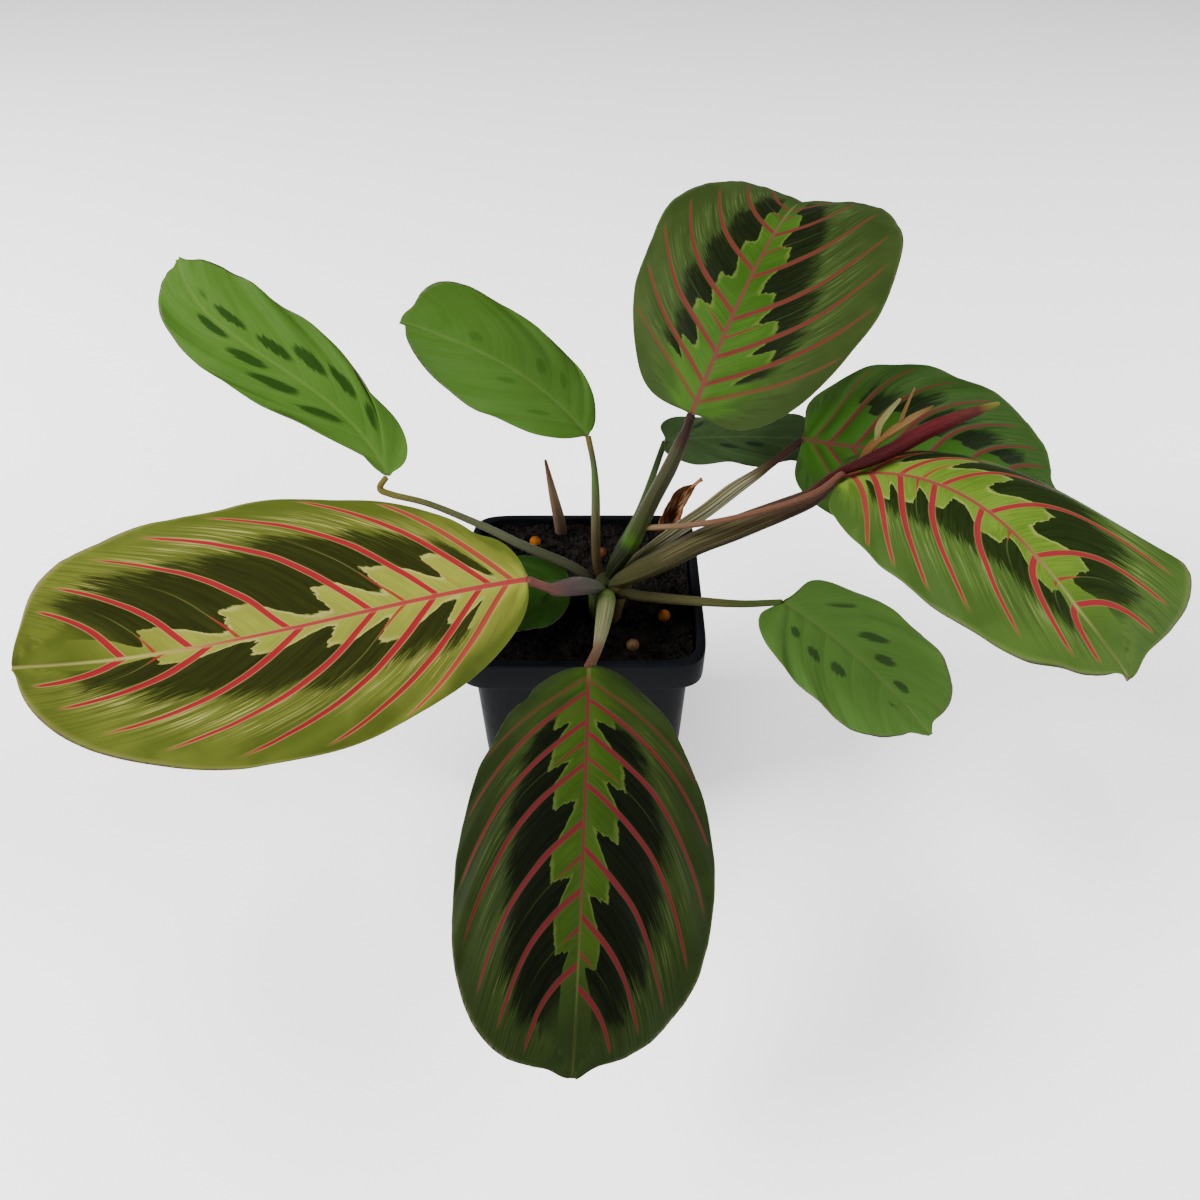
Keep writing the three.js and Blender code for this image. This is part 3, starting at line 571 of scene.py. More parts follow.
def patternedLeaf(name, look):
    # light band along the midrib with a stepped edge, dark blotches between veins, streaks that
    # run with the veins, red veins with pale borders
    paint = Paint(name, look["rough"], finish["leafGloss"])
    cell, c, perCell, side, a, u, under, spacing, reach, fromVein, grain = leafPlaces(
        paint, "cell c perCell side a u under spacing reach fromVein grain")
    streaks, fine, thread = grain("streaks"), grain("fine"), grain("thread", shift=9.0)
    jag = grain("jag", 3.0) - 0.5
    cloud = paint.noise(paint.place(), 55.0, 3.0, 0.55)
    # how far the light band reaches: widest just past a vein, low after the step, and back again
    stepAt = look["step"] - 0.03 + (perCell - 0.5) * pattern["stepRandom"]
    stepAt = stepAt + jag * pattern["stepJag"]
    before = look["reach"] * (0.96 + c * 0.16)
    after = look["reach"] * (look["low"] + c.rise(0.62, 1.02) * (0.9 - look["low"]))
    inner = before + (after - before) * (c - stepAt).rise(-0.06, 0.14)
    base, tip = look["spread"]
    inner = inner * (base + u.rise(0.15, 0.7) * (tip - base))
    inner = inner + (perCell - 0.5) * pattern["bandRandom"] + jag * pattern["bandJag"]
    inner = inner + u.rise(0.86, 0.97) * 0.3
    # how far out the blotches reach, with ragged ends
    low, high = look["blotch"]
    outer = low + u.rise(0.12, 0.82) * (high - low) + (perCell - 0.5) * pattern["endRandom"]
    outer = outer - (c - 0.55).size() * 0.12 - u.rise(0.86, 0.97) * 0.2
    outer = outer + (0.5 - side) * look["uneven"]
    ragged = outer + (streaks - 0.5) * pattern["ragged"] + (fine - 0.5) * pattern["raggedFine"]
    started = cell + (jag + streaks - 0.5) * 0.5 - look["first"]
    soft = started.fall(-0.3, 0.4) * 0.12 + look["soft"]
    inBand = ((a - inner) / (soft + 0.008)).fall(-1.0, 1.0)
    inBlotch = (a - inner).rise(-0.003, 0.012) * (a - ragged).fall(-0.05, 0.03)
    frayed = fine.rise(0.57, 0.62) * (a - outer).rise(-0.24, -0.04) * look["lined"]
    inBlotch = inBlotch * (1.0 - frayed.clamped() * 0.7)
    inBlotch = inBlotch * started.rise(-0.12, 0.12) * u.fall(0.86, 0.94)
    nearest = 0.5 - (c - 0.5).size() + (streaks - 0.5) * 0.06
    inBlotch = inBlotch * (nearest - look["apart"]).rise(-0.06, 0.02)
    # green beyond the blotches: paler clouds, thin pale lines that run with the veins
    green = paint.mix(cloud.rise(0.4, 0.75) * 0.7, look["edge"], look["pale"])
    beyond = (a - outer).rise(-0.12, 0.02) * (a - outer).fall(0.08, 0.34)
    green = green.mix(beyond * 0.45, look["pale"])
    lines = (thread - 0.5).size().fall(0.015, 0.05) * beyond * streaks.rise(0.42, 0.56) * 0.9
    lines = lines + fine.rise(0.58, 0.64) * beyond * 0.4
    lines = lines * a.fall(0.82, 0.96) * u.fall(0.82, 0.92) * cell.rise(0.6, 1.8)
    green = green.mix((lines * look["lined"]).clamped(), look["streak"])
    green = green.mix(streaks.rise(0.55, 0.4) * beyond * 0.35, look["dark"])
    green = green.mix(u.fall(0.1, 0.5) * a.fall(0.3, 0.75) * 0.6, look["leaf"])
    band = paint.mix((cloud * 0.5 + fine * 0.5).rise(0.4, 0.62), look["band"], look["leaf"])
    rim = (a - inner).rise(-0.05, -0.004) * u.fall(0.78, 0.88) * started.rise(-0.3, 0.3)
    band = band.mix(rim * c.rise(0.05, 0.25) * 0.65, look["cream"])
    band = band.mix(u.rise(0.78, 0.96), green)
    skin = green.mix(inBand, band)
    blotch = paint.mix((streaks - 0.35).clamped() * 0.5, look["dark"], look["edge"])
    skin = skin.mix(inBlotch * 0.97, blotch)
    # the thin vein in the middle of a cell
    minor = ((c - 0.52).size() * spacing - (0.3 - a).clamped()).fall(0.06, 0.2)
    minor = minor * perCell.rise(0.35, 0.4) * u.rise(0.3, 0.4) * u.fall(0.85, 0.9)
    skin = skin.mix(minor * a.fall(0.4, 0.8) * 0.22, look["streak"])
    skin = skin.mix(minor * a.fall(0.16, 0.34) * 0.9, look["red"])
    # main veins: a pale border, then the red, thinner towards the margin
    width = look["vein"] * (0.85 + a * 0.55 - a * a * 1.15) + (fine - 0.5) * 0.14
    there = a.fall(0.9, 0.96) * cell.rise(0.6, 0.9)
    strength = look["faint"] + cell.rise(0.8, 2.3) * (1 - look["faint"])
    there = there * u.fall(0.93, 0.97) * strength
    border = (fromVein - width).fall(0.06, 0.3)
    skin = skin.mix(border * there * 0.6, look["border"])
    vein = (fromVein - width).fall(-0.06, 0.06) * there
    skin = skin.mix(vein * 0.97, look["red"])
    # midrib: red at the base, pale near the tip
    ribWidth = look["middle"] * (1.1 - u * 0.75)
    rib = (reach - ribWidth).fall(-0.12, 0.14) * (1.0 - u.rise(0.86, 0.97) * 0.6)
    ribColour = paint.mix(u.rise(0.72, 0.9), look["rib"], look["streak"])
    ribColour = ribColour.mix(u.fall(0.06, 0.26) * look["start"], look["cream"])
    skin = skin.mix((reach - ribWidth).fall(0.0, 0.4) * 0.35, look["border"])
    skin = skin.mix(rib * 0.95, ribColour)
    skin = skin.mix(a.rise(0.978, 0.996) * 0.3, look["streak"])
    return leafSkin(paint, skin, under, fine, streaks, vein, look)


underside = dict(skin=("#6f5560", "#8a7a72"), vein="#8f5a52")


def leafSkin(paint, skin, under, fine, streaks, vein, look):
    # purple-grey underside, fine striping along the veins
    below = paint.mix(streaks, *underside["skin"])
    below = below.mix(vein * 0.6, underside["vein"])
    # tone: each blade's factors, set to how light or dark it looks where it stands, so besides its
    # own colour they hold painted light and shade
    skin = skin.mix(1.0, (*look["tone"], 1.0), "MULTIPLY")
    skin = skin.mix(under, below)
    rough = look["rough"] + (fine - 0.5) * 0.12 + under * 0.12
    bump = paint.bump(streaks, 0.00008, 0.5)
    return paint.wear(Base_Color=skin, Roughness=rough, Normal=bump)


def spottedLeaf(name, look):
    # young leaf: one short dark blotch in each cell, an ellipse with rough edges, and pale veins
    paint = Paint(name, look["rough"], finish["leafGloss"])
    c, perCell, side, a, u, under, reach, fromVein, grain = leafPlaces(
        paint, "c perCell side a u under reach fromVein grain")
    streaks, fine = grain("youngStreaks"), grain("youngFine")
    cloud = paint.noise(paint.place(), 50.0, 3.0, 0.55)
    green = paint.mix(cloud.rise(0.3, 0.7) * 0.5, look["edge"], look["vein"])
    green = green.mix((streaks - 0.45).clamped() * 0.9, look["rib"])
    rounder = (1.0 - side) * look["round"]
    across = a - look["at"] - (perCell - 0.5) * 0.16 + (streaks - 0.5) * 0.2 + (fine - 0.5) * 0.1
    across = across / (look["wide"] * (1.0 - rounder))
    along = (c - 0.5) / (look["tall"] * (1.0 + rounder * 0.6))
    inside = (across * across + along * along).fall(0.5, 1.3) * u.fall(0.84, 0.92)
    inside = inside * perCell.rise(look["few"] - 0.1, look["few"])
    inside = inside * (u - side * look["late"]).rise(0.19, 0.25)
    skin = green.mix(inside * 0.92, look["dark"])
    vein = fromVein.fall(0.12, 0.45) * a.fall(0.6, 0.95)
    skin = skin.mix(vein * 0.45, look["vein"])
    skin = skin.mix(reach.fall(0.3, 0.7) * 0.5, look["rib"])
    return leafSkin(paint, skin, under, fine, streaks, vein, look)


for name, blade in blades.items():
    if blade["look"] in looks:
        material = patternedLeaf("leafSkin_" + name, {**usualLook, **looks[blade["look"]]})
        blade = {**usualBlade, **blade}
    else:
        material = spottedLeaf("leafSkin_" + name, {**usualSpots, **spotLooks[blade["look"]]})
        blade = {**usualBlade, **blade, "cells": (110, 30), "relief": 0.35}
    makeBlade(name, blade, material, "blade_" + name)
print("leaf blades done")


# stalks, sheaths and other long pieces follow a route of points
def smoothRoute(route, t):
    # Catmull-Rom through the route's points a, b, c, d: half of
    # 2b + (c-a)t + (2a-5b+4c-d)t^2 + (3b-a-3c+d)t^3
    p = np.asarray(route, float)
    p = np.vstack([2 * p[0] - p[1], p, 2 * p[-1] - p[-2]])
    i = np.clip(t.astype(int), 0, len(route) - 2)
    f = (t - i)[:, None]
    a, b, c, d = p[i], p[i + 1], p[i + 2], p[i + 3]
    return 0.5 * (2 * b + (c - a) * f + (2 * a - 5 * b + 4 * c - d) * f ** 2
                  + (3 * b - a - 3 * c + d) * f ** 3)


# crowding: how much the rings crowd towards both ends; steepest: rise of a route per unit of its
# length from which its rings are levelled by y instead of z
sweepBuild = dict(courseSteps=400, crowding=0.35, steepest=0.985, leastEnd=1e-3)


def sweep(name, route, material, node, along=80, around=28, flat=1.0, section=None,
          roundEnds=(1.0, 1.0)):
    # rings about a route of x, y, z, radius: centre + r (cos across + flat sin above). The ends
    # close as half ellipsoids roundEnds radii long; section gives a factor on the radius from the
    # share along and the angle.
    build = sweepBuild
    fine = smoothRoute(route, np.linspace(0, len(route) - 1, build["courseSteps"]))
    steps = np.linalg.norm(np.diff(fine[:, :3], axis=0), axis=1)
    travelled = np.concatenate([[0], np.cumsum(steps)])
    even = np.linspace(0, 1, along + 1)
    share = build["crowding"] * (1 - np.cos(np.pi * even)) / 2 + (1 - build["crowding"]) * even
    distance = share * travelled[-1]
    path = np.stack([np.interp(distance, travelled, fine[:, k]) for k in range(4)], -1)
    centre = path[:, :3]
    radius = path[:, 3]
    first = np.clip(distance / max(radius[0] * roundEnds[0], build["leastEnd"]), 0, 1)
    left = travelled[-1] - distance
    last = np.clip(left / max(radius[-1] * roundEnds[1], build["leastEnd"]), 0, 1)
    radius = radius * np.sqrt(1 - (1 - first) ** 2) * np.sqrt(1 - (1 - last) ** 2)
    forward = unit(np.gradient(centre, axis=0))
    upright = abs(forward[:, 2]).max() >= build["steepest"]
    across = unit(np.cross(forward, (0.0, 1.0, 0.0) if upright else (0.0, 0.0, 1.0)))
    above = np.cross(across, forward)
    angle = 2 * np.pi * np.arange(around)[None] / around
    share = share[:, None]
    grow = radius[:, None] * (section(share, angle) if section else 1)
    side = (grow * np.cos(angle))[..., None] * across[:, None]
    lift = (grow * flat * np.sin(angle))[..., None] * above[:, None]
    place = np.stack(np.broadcast_arrays(share, np.cos(angle), np.sin(angle)), -1)
    makePiece(name, centre[:, None] + side + lift, material, node, {"stalkPlace": place})


# route: x, y, z, radius from the crown to the blade; stops: colours along it; ribs: how many run
# along it; flat: height over width; stripe: colour of pale stripes, on some stalks
stalks = {
    "right": dict(
        route=[(8, -8, 70, 2.2), (12.5, -11, 76.5, 3.2), (22.5, -11, 82.5, 3.8),
               (32.5, -11.5, 89.5, 4), (44, -12.5, 96, 4), (59, -16, 106.5, 3.2),
               (63.5, -17.2, 111.5, 2), (66, -18, 114.7, 1.3)],
        stops=[(0, "#4c4f2c"), (0.2, "#494829"), (0.45, "#433b23"), (0.75, "#473625"),
               (0.9, "#50382c"), (1, "#5a3d32")], ribs=9, flat=0.72, stripe="#66603f"),
    "left": dict(
        route=[(6, -9.5, 70, 1.6), (4, -14, 75.5, 2.2), (-1, -18, 79, 3), (-6.5, -23, 82, 2.2),
               (-9, -25, 84.5, 1.4), (-14, -26, 87.8, 1.4)],
        stops=[(0, "#5a7048"), (0.35, "#66635a"), (0.6, "#6a5658"), (0.72, "#7a5a56"),
               (0.86, "#8f5f58"), (1, "#8a5a50")], ribs=7, flat=0.8),
    "front": dict(
        route=[(7, -9, 70, 2), (7, -18, 74, 2.5), (6, -31.5, 77, 2), (5, -42, 80, 1.4),
               (4.5, -45.5, 80.7, 1.25), (2.5, -54, 82.8, 1.35)],
        stops=[(0, "#5f7a34"), (0.35, "#7a8550"), (0.7, "#85805c"), (0.8, "#7d6650"),
               (0.9, "#70503c"), (1, "#6a4a38")], ribs=8, flat=0.7, stripe="#9c9f7c"),
    "upper": dict(
        route=[(8, -7.5, 72, 2), (10, -7.5, 79, 2.5), (14, -6, 85.5, 2.7), (19, -5, 97.5, 2.4),
               (23.5, -5.5, 109, 2.3), (26.3, -6, 117.5, 1.9), (27.5, -6.3, 121.5, 1.4),
               (28.5, -6.4, 126.4, 1.3)],
        stops=[(0, "#232a15"), (0.21, "#262e16"), (0.27, "#44661e"), (0.33, "#415022"),
               (0.45, "#45482b"), (0.82, "#52503a"), (0.88, "#44302a"), (1, "#44302a")], ribs=6,
        flat=0.9),
    "rear": dict(
        route=[(8, -5, 69, 1.4), (14, -4, 76, 1.6), (28.5, 0, 86, 2.3), (35, 2, 90, 2.4),
               (42.5, 5, 95, 2.4), (49, 7, 99, 1.8), (53.5, 9, 101.5, 1.3),
               (62.1, 13.4, 106.3, 1.3)],
        stops=[(0, "#4a5230"), (0.3, "#62603c"), (0.6, "#6e6a46"), (0.78, "#5e5638"),
               (0.84, "#4a332a"), (1, "#4a332a")], ribs=7, flat=0.7, stripe="#b9b494"),
    "backLeft": dict(
        route=[(5, -6.5, 69, 1.4), (-2, -5, 75, 1.5), (-17, 0.5, 79, 1.4), (-28, 4, 83, 1.2),
               (-43.5, 8, 88, 1), (-54.5, 10, 90, 1), (-58, 11, 91.5, 1),
               (-55.8, 12.6, 94.6, 0.9)],
        stops=[(0, "#4a4c36"), (0.25, "#545741"), (0.45, "#6a6e54"), (0.75, "#66683f"),
               (0.88, "#7e7a3a"), (1, "#8a7a3a")], ribs=4, flat=0.95),
    "backMid": dict(
        route=[(6, -5, 69, 1.3), (4.3, -2, 75, 1.3), (4, 3, 82, 1.3), (4, 9, 90.5, 1.2),
               (3.5, 13.5, 97.5, 0.9), (1.8, 18.3, 104.7, 0.9)],
        stops=[(0, "#4c3f26"), (0.3, "#54472c"), (0.5, "#6c6a48"), (0.72, "#587a38"),
               (0.84, "#65684a"), (1, "#8a7a3a")], ribs=4, flat=0.9),
    "lowRight": dict(
        route=[(8, -10, 69, 1.4), (13, -14.5, 73.5, 1.6), (17, -17, 74.5, 1.6), (32, -22, 77, 1.4),
               (43.5, -26, 79.5, 1.1), (54, -28, 81.8, 0.9)],
        stops=[(0, "#34321b"), (0.3, "#3c3a20"), (0.6, "#5e5c38"), (0.82, "#4f5c2c"),
               (1, "#4f6a2c")], ribs=4, flat=0.9),
    "behind": dict(
        route=[(7, -4.5, 66, 1.1), (9.5, 1, 74, 1.1), (17, 12.5, 83, 1.1), (24.8, 32, 94.3, 0.9)],
        stops=[(0, "#4f6a34"), (0.6, "#5a7040"), (1, "#4a5f3a")], ribs=3, flat=0.95),
    "lowLeft": dict(
        route=[(5, -7, 66, 0.9), (0, -6, 70, 0.9), (-4, -5.3, 70.6, 0.9)],
        stops=[(0, "#3f6a24"), (1, "#4a7a2c")], ribs=3, flat=0.95),
}


threadColours = dict(pale="#a3a074", dark="#2c2a18")


def stalkSkin(name, stops, ribs, rough=0.48, stripe=None):
    # colours run along the stalk; ribs, threads and pale stripes run with it. t: share along,
    # c and s: cosine and sine of the angle round it
    paint = Paint(name, rough)
    t, c, s = paint.attribute("stalkPlace")
    threads = paint.noise(paint.vector(c * ribs * 0.8, s * ribs * 0.8, t * 1.3), 1.6, 3.0, 0.6)
    patches = paint.noise(paint.place(), 120.0, 3.0, 0.55)
    skin = paint.ramp((t + (patches - 0.5) * 0.08).clamped(), stops)
    skin = skin.mix(threads.rise(0.4, 0.75) * 0.4, threadColours["pale"], "SOFT_LIGHT")
    skin = skin.mix(threads.rise(0.55, 0.25) * 0.35, threadColours["dark"])
    if stripe:
        lines = paint.noise(paint.vector(c * ribs, s * ribs, t * 0.9), 1.3, 1.0, 0.5)
        between = t.rise(0.2, 0.35) * t.fall(0.7, 0.8)
        skin = skin.mix(lines.rise(0.5, 0.58) * between * 0.75, stripe)
    rough = rough + (patches - 0.5) * 0.2
    bump = paint.bump(threads, 0.0006, 0.7)
    return paint.wear(Base_Color=skin, Roughness=rough, Normal=bump)


for name, stalk in stalks.items():
    material = stalkSkin("stalkSkin_" + name, stalk["stops"], stalk["ribs"],
                         stripe=stalk.get("stripe"))

    def ribbed(share, angle, ribs=stalk["ribs"]):
        # shallow ribs that die out towards the joint at the blade
        return 1 + 0.035 * np.sin(ribs * angle + 2 * share) * (1 - smoothStep(share, 0.7, 0.9))

    sweep("stem_" + name, stalk["route"], material, "stalk_" + name, 110, 36,
          stalk["flat"], ribbed, (0.3, 0.5))
print("stalks done")

# the crown: leaf bases wrapped round each other, one list of routes and one of colours
crown = dict(
    ribs=9, ribHeight=0.03,
    routes=[[(6.5, -7.5, 58, 4.6), (6.6, -7.7, 63, 5.0), (6.8, -8.0, 69, 4.4), (7.5, -8, 75, 2.4)],
            [(8.5, -9.5, 58.5, 2.6), (9, -9.8, 65, 3), (10.5, -10.4, 72, 3), (13, -11, 77, 2.6)],
            [(4.5, -9.5, 58.5, 2.2), (4.6, -10.4, 66, 2.5), (4.6, -12.5, 73, 2.2),
             (3, -15, 76.5, 1.9)],
            [(6.8, -10.5, 58.5, 2.2), (7, -12, 66, 2.5), (7, -14.5, 72, 2.5), (7, -19, 74.6, 2.4)]],
    stops=[[(0, "#40372a"), (0.4, "#4a4a2c"), (0.8, "#3c4626"), (1, "#394424")],
           [(0, "#6a5238"), (0.5, "#7a6a48"), (1, "#5a5a34")],
           [(0, "#6a5a3c"), (0.5, "#62743c"), (1, "#5a7048")],
           [(0, "#5a4630"), (0.5, "#5f7a38"), (1, "#688040")]])
for i, (route, stops) in enumerate(zip(crown["routes"], crown["stops"]), 1):
    sweep("crown_sheath_%d" % i, route, stalkSkin("crownSkin_%d" % i, stops, crown["ribs"]),
          "crown", 50, 30, 0.95,
          lambda share, angle: 1 + crown["ribHeight"] * np.sin(crown["ribs"] * angle), (0.4, 0.8))

# the rolled new leaf: a spindle whose margin overlaps itself along a spiral
rolled = dict(
    spiral=1.2, start=1.0, inside=0.93, growth=0.16, drop=0.08, pale="#863238", dark="#2c1014",
    route=[(58.5, -17, 108.8, 0.9), (61.5, -18.2, 113.2, 1.0), (64.5, -19.5, 116.9, 1.1),
           (67.5, -20.1, 119.1, 1.3), (71.1, -19.9, 120.7, 1.6), (77.8, -18.4, 123.4, 2.0),
           (84.8, -16.5, 127, 2.2), (91.8, -15.5, 130.1, 1.8), (98.7, -14.9, 132.7, 1.1),
           (102.7, -14.7, 134.3, 0.45)],
    stops=[(0, "#4a3024"), (0.22, "#44191a"), (0.5, "#501c20"), (0.72, "#6a2429"),
           (0.9, "#6a3a30"), (0.96, "#8a8a3a"), (1, "#9a9a48")])


def rolledSection(share, angle):
    # the radius grows by 16% once round and drops back at the free margin
    turn = ((angle - rolled["spiral"] * share - rolled["start"]) / (2 * np.pi)) % 1
    return rolled["inside"] + rolled["growth"] * turn - rolled["drop"] * smoothStep(turn, 0.97, 1.0)


paint = Paint("rolledLeafSkin", 0.4)
t, c, s = paint.attribute("stalkPlace")
threads = paint.noise(paint.vector(c * 6.0, s * 6.0, t * 2.0), 2.0, 3.0, 0.6)
skin = paint.ramp(t, rolled["stops"])
skin = skin.mix(threads.rise(0.45, 0.75) * 0.35, rolled["pale"])
skin = skin.mix(threads.rise(0.5, 0.25) * 0.4, rolled["dark"])
material = paint.wear(Base_Color=skin, Normal=paint.bump(threads, 0.0005, 0.8))
sweep("new_leaf_rolled", rolled["route"], material, "rolled_leaf", 120, 48, 0.95,
      rolledSection, (0.3, 1.5))

flower = dict(
    route=[(17.2, -6, 90, 0.8), (27.5, -12.5, 95.5, 0.8), (34.8, -15.6, 99, 0.8),
           (41.5, -18, 102.5, 0.8), (48, -20, 106.2, 0.8), (54, -21.3, 109.5, 0.8),
           (60.5, -22.3, 113.9, 0.85), (66.5, -20.3, 118.4, 0.9)],
    stops=[(0, "#7c8c44"), (0.06, "#907356"), (0.5, "#865e4a"), (1, "#7d5040")], ribs=3)
material = stalkSkin("flowerStalkSkin", flower["stops"], flower["ribs"])
sweep("flower_stem", flower["route"], material, "flower_stalk", 90, 16)

# dry bracts at the flower stalk's end: narrow strips rolled lengthways
bracts = {
    "tan": dict(
        route=[(70, -19.6, 120.1, 0.9), (73.2, -16.2, 123.4, 1.3), (78.1, -14.6, 126.5, 1.35),
               (83, -13, 129.4, 1.1), (87.8, -11.8, 131.9, 0.35)],
        stops=[(0, "#6f4a2c"), (0.4, "#9a7040"), (0.8, "#b08a58"), (1, "#8a6038")]),
    "pale": dict(
        route=[(74.1, -16, 124, 0.6), (74.6, -13.9, 127.2, 0.9), (76.4, -12.2, 129.5, 0.9),
               (79.9, -9.6, 132.7, 0.4)],
        stops=[(0, "#9a9458"), (0.5, "#b9b070"), (1, "#c9c08a")]),
    "thin": dict(
        route=[(79.5, -14.1, 127.4, 0.5), (80.7, -11.9, 130, 0.5), (83.5, -7.5, 134.5, 0.25)],
        stops=[(0, "#8a6a3c"), (1, "#b0905a")]),
}
for name, bract in bracts.items():
    material = stalkSkin("bractSkin_" + name, bract["stops"], 6, 0.7)
    sweep("bract_" + name + "_dry", bract["route"], material, "bract_" + name, 60, 24, 0.5,
          lambda share, angle: 1 - 0.3 * bell(angle - np.pi / 2, 0.6), (0.4, 1.5))

# dry remains: the stub of an old stalk, hollowed on one side, and a curled scrap of leaf
stub = dict(
    route=[(-6.8, 28.4, 58, 1.9), (-7.4, 28.8, 66, 1.9), (-9.2, 29.8, 76, 1.4),
           (-11.4, 31, 88.5, 0.4)],
    stops=[(0, "#5a4a3a"), (0.35, "#86705a"), (0.6, "#a88a6c"), (1, "#8a5c44")], ribs=5)
material = stalkSkin("dryStubSkin", stub["stops"], stub["ribs"], 0.75)
sweep("old_stalk_stub", stub["route"], material, "dry_stub", 60, 24, 0.8,
      lambda share, angle: 1 - 0.25 * bell(angle - 4.2, 0.5), (0.3, 2.0))

scrap = dict(
    base=(25.5, 27.5, 62.6), length=21, heading=(20, 10, -10), pitch=(80, 62, 50),
    roll=(60, 50, 30), left=(5.5, 0.45, 2, 1.2), right=(6, 0.4, 2, 1.2),
    fold=((25, 30, 20), (25, 20, 20)), curl=((60, 80, 60), (40, 60, 40)), lobe=(0, 0),
    wave=(0.5, 3, 0), cells=(70, 16), mottle=("#a5683e", "#d8a478"), vein="#4a2412", edge="#4f2a16",
    veins=((0.2, 0.35, 0.5, 0.65, 0.8), (0.15, 0.3, 0.45, 0.6, 0.75, 0.9)))
paint = Paint("dryLeafSkin", 0.8)
a, fromVein = leafPlaces(paint, "a fromVein")
mottle = paint.noise(paint.place(), 220.0, 4.0, 0.6)
skin = paint.mix(mottle.rise(0.35, 0.65), *scrap["mottle"])
skin = skin.mix(fromVein.fall(0.1, 0.3) * 0.6, scrap["vein"])
skin = skin.mix(a.rise(0.8, 1.0) * 0.6, scrap["edge"])
material = paint.wear(Base_Color=skin, Normal=paint.bump(mottle, 0.0006, 0.8))
makeBlade("dry", {**usualBlade, **scrap}, material, "dry_leaf")
print("flower stalk and dry pieces done")


# a square pot: sizes in mm; squareness: power of its rings; crowding: of their points at corners
pot = dict(rim=70, height=65, lip=9.3, underLip=62, base=57, wall=1.2, rimWidth=2.4, floor=2.2,
           squareness=9, crowding=0.17, hardEdge=40, drainRadius=2.6, drainRing=20, drains=8,
           plastic=("#15171b", "#1e2126"), dust="#333333")


def squareRing(profile, count=256):
    # a round profile made square: reach = r / (|cos|^p + |sin|^p)^(1/p), points crowded at corners
    power = pot["squareness"]
    even = 2 * np.pi * np.arange(count) / count
    angle = even + pot["crowding"] * np.sin(4 * even)
    reach = (np.abs(np.cos(angle)) ** power + np.abs(np.sin(angle)) ** power) ** (-1 / power)
    flatRing = np.stack([reach * np.cos(angle), reach * np.sin(angle)], -1)
    profile = np.asarray(profile, float)
    xy = profile[:, None, :1] * flatRing[None]
    z = np.broadcast_to(profile[:, None, 1:], xy.shape[:2] + (1,))
    return np.concatenate([xy, z], -1)


def roundedProfile(corners, steps=5):
    # corners of (half width, height, rounding); each becomes a quadratic arc from a to b:
    # (1-t)^2 a + 2t(1-t) corner + t^2 b
    corners = np.asarray(corners, float)
    t = np.linspace(0, 1, steps)[:, None]
    points = [corners[:1, :2]]
    for before, (*corner, radius), after in zip(corners, corners[1:], corners[2:]):
        a = corner + radius * unit(before[:2] - corner)
        b = corner + radius * unit(after[:2] - corner)
        points.append((1 - t) ** 2 * a + 2 * t * (1 - t) * np.array(corner) + t ** 2 * b)
    return np.vstack([*points, corners[-1:, :2]])


shoulder = pot["height"] - pot["lip"]
mouth = pot["rim"] / 2 - pot["rimWidth"]
potProfile = roundedProfile([
    (0, 0, 0), (pot["base"] / 2, 0, 1.4), (pot["underLip"] / 2, shoulder, 0.35),
    (pot["rim"] / 2 - 0.25, shoulder - 0.1, 0.5), (pot["rim"] / 2, pot["height"], 0.9),
    (mouth, pot["height"], 0.5), (mouth - 0.2, shoulder + 0.8, 0.6),
    (pot["underLip"] / 2 - pot["wall"], shoulder - 1.2, 0.8),
    (pot["base"] / 2 - pot["wall"], pot["floor"], 0.8), (0, pot["floor"], 0)])
paint = Paint("potPlastic", 0.45)
scuffs = paint.noise(paint.place(), 900.0, 4.0, 0.65)
smudge = paint.noise(paint.place(), 38.0, 3.0, 0.5)
dust = paint.noise(paint.place(), 150.0, 5.0, 0.7).rise(0.56, 0.72)
skin = paint.mix(smudge, *pot["plastic"])
skin = skin.mix(dust * 0.35, pot["dust"])
rough = 0.4 + smudge * 0.16 + dust * 0.2
material = paint.wear(Base_Color=skin, Roughness=rough, Normal=paint.bump(scuffs, 0.00006, 0.6))
potPiece = makePiece("nursery_pot", squareRing(potProfile), material, "pot",
                     sharp=pot["hardEdge"])

# the drain holes: one cutter of upright rods, from under the floor to well above it
cutter = bpy.data.meshes.new("drainCutter")
corners = 32
angle = 2 * np.pi * (np.arange(pot["drains"])[:, None] + 0.5) / pot["drains"]
ring = 2 * np.pi * np.arange(corners)[None] / corners
discs = [pot["drainRing"] * turned(angle) + pot["drainRadius"] * turned(ring)
         for turned in (np.cos, np.sin)]
rods = [np.stack([*discs, np.full_like(discs[0], z)], -1) for z in (-5.0, 8.0)]
points = np.concatenate(rods, axis=1).reshape(-1, 3)
ids = np.arange(corners)
beside = (ids + 1) % corners
rodFaces = [*np.stack([ids, beside, corners + beside, corners + ids], -1), ids[::-1], ids + corners]
cutter.from_pydata((points * metre).tolist(), [],
                   [(face + 2 * corners * k).tolist() for k in range(pot["drains"])
                    for face in rodFaces])
cutterObject = addObject("drainCutter", cutter)
bore = potPiece.modifiers.new("drains", "BOOLEAN")
bore.operation = "DIFFERENCE"
bore.object = cutterObject
finished = potPiece.evaluated_get(bpy.context.evaluated_depsgraph_get())
drained = bpy.data.meshes.new_from_object(finished)
potPiece.modifiers.clear()
potPiece.data = drained
bpy.data.objects.remove(cutterObject)
drained.set_sharp_from_angle(angle=math.radians(pot["hardEdge"]))
print("pot done")


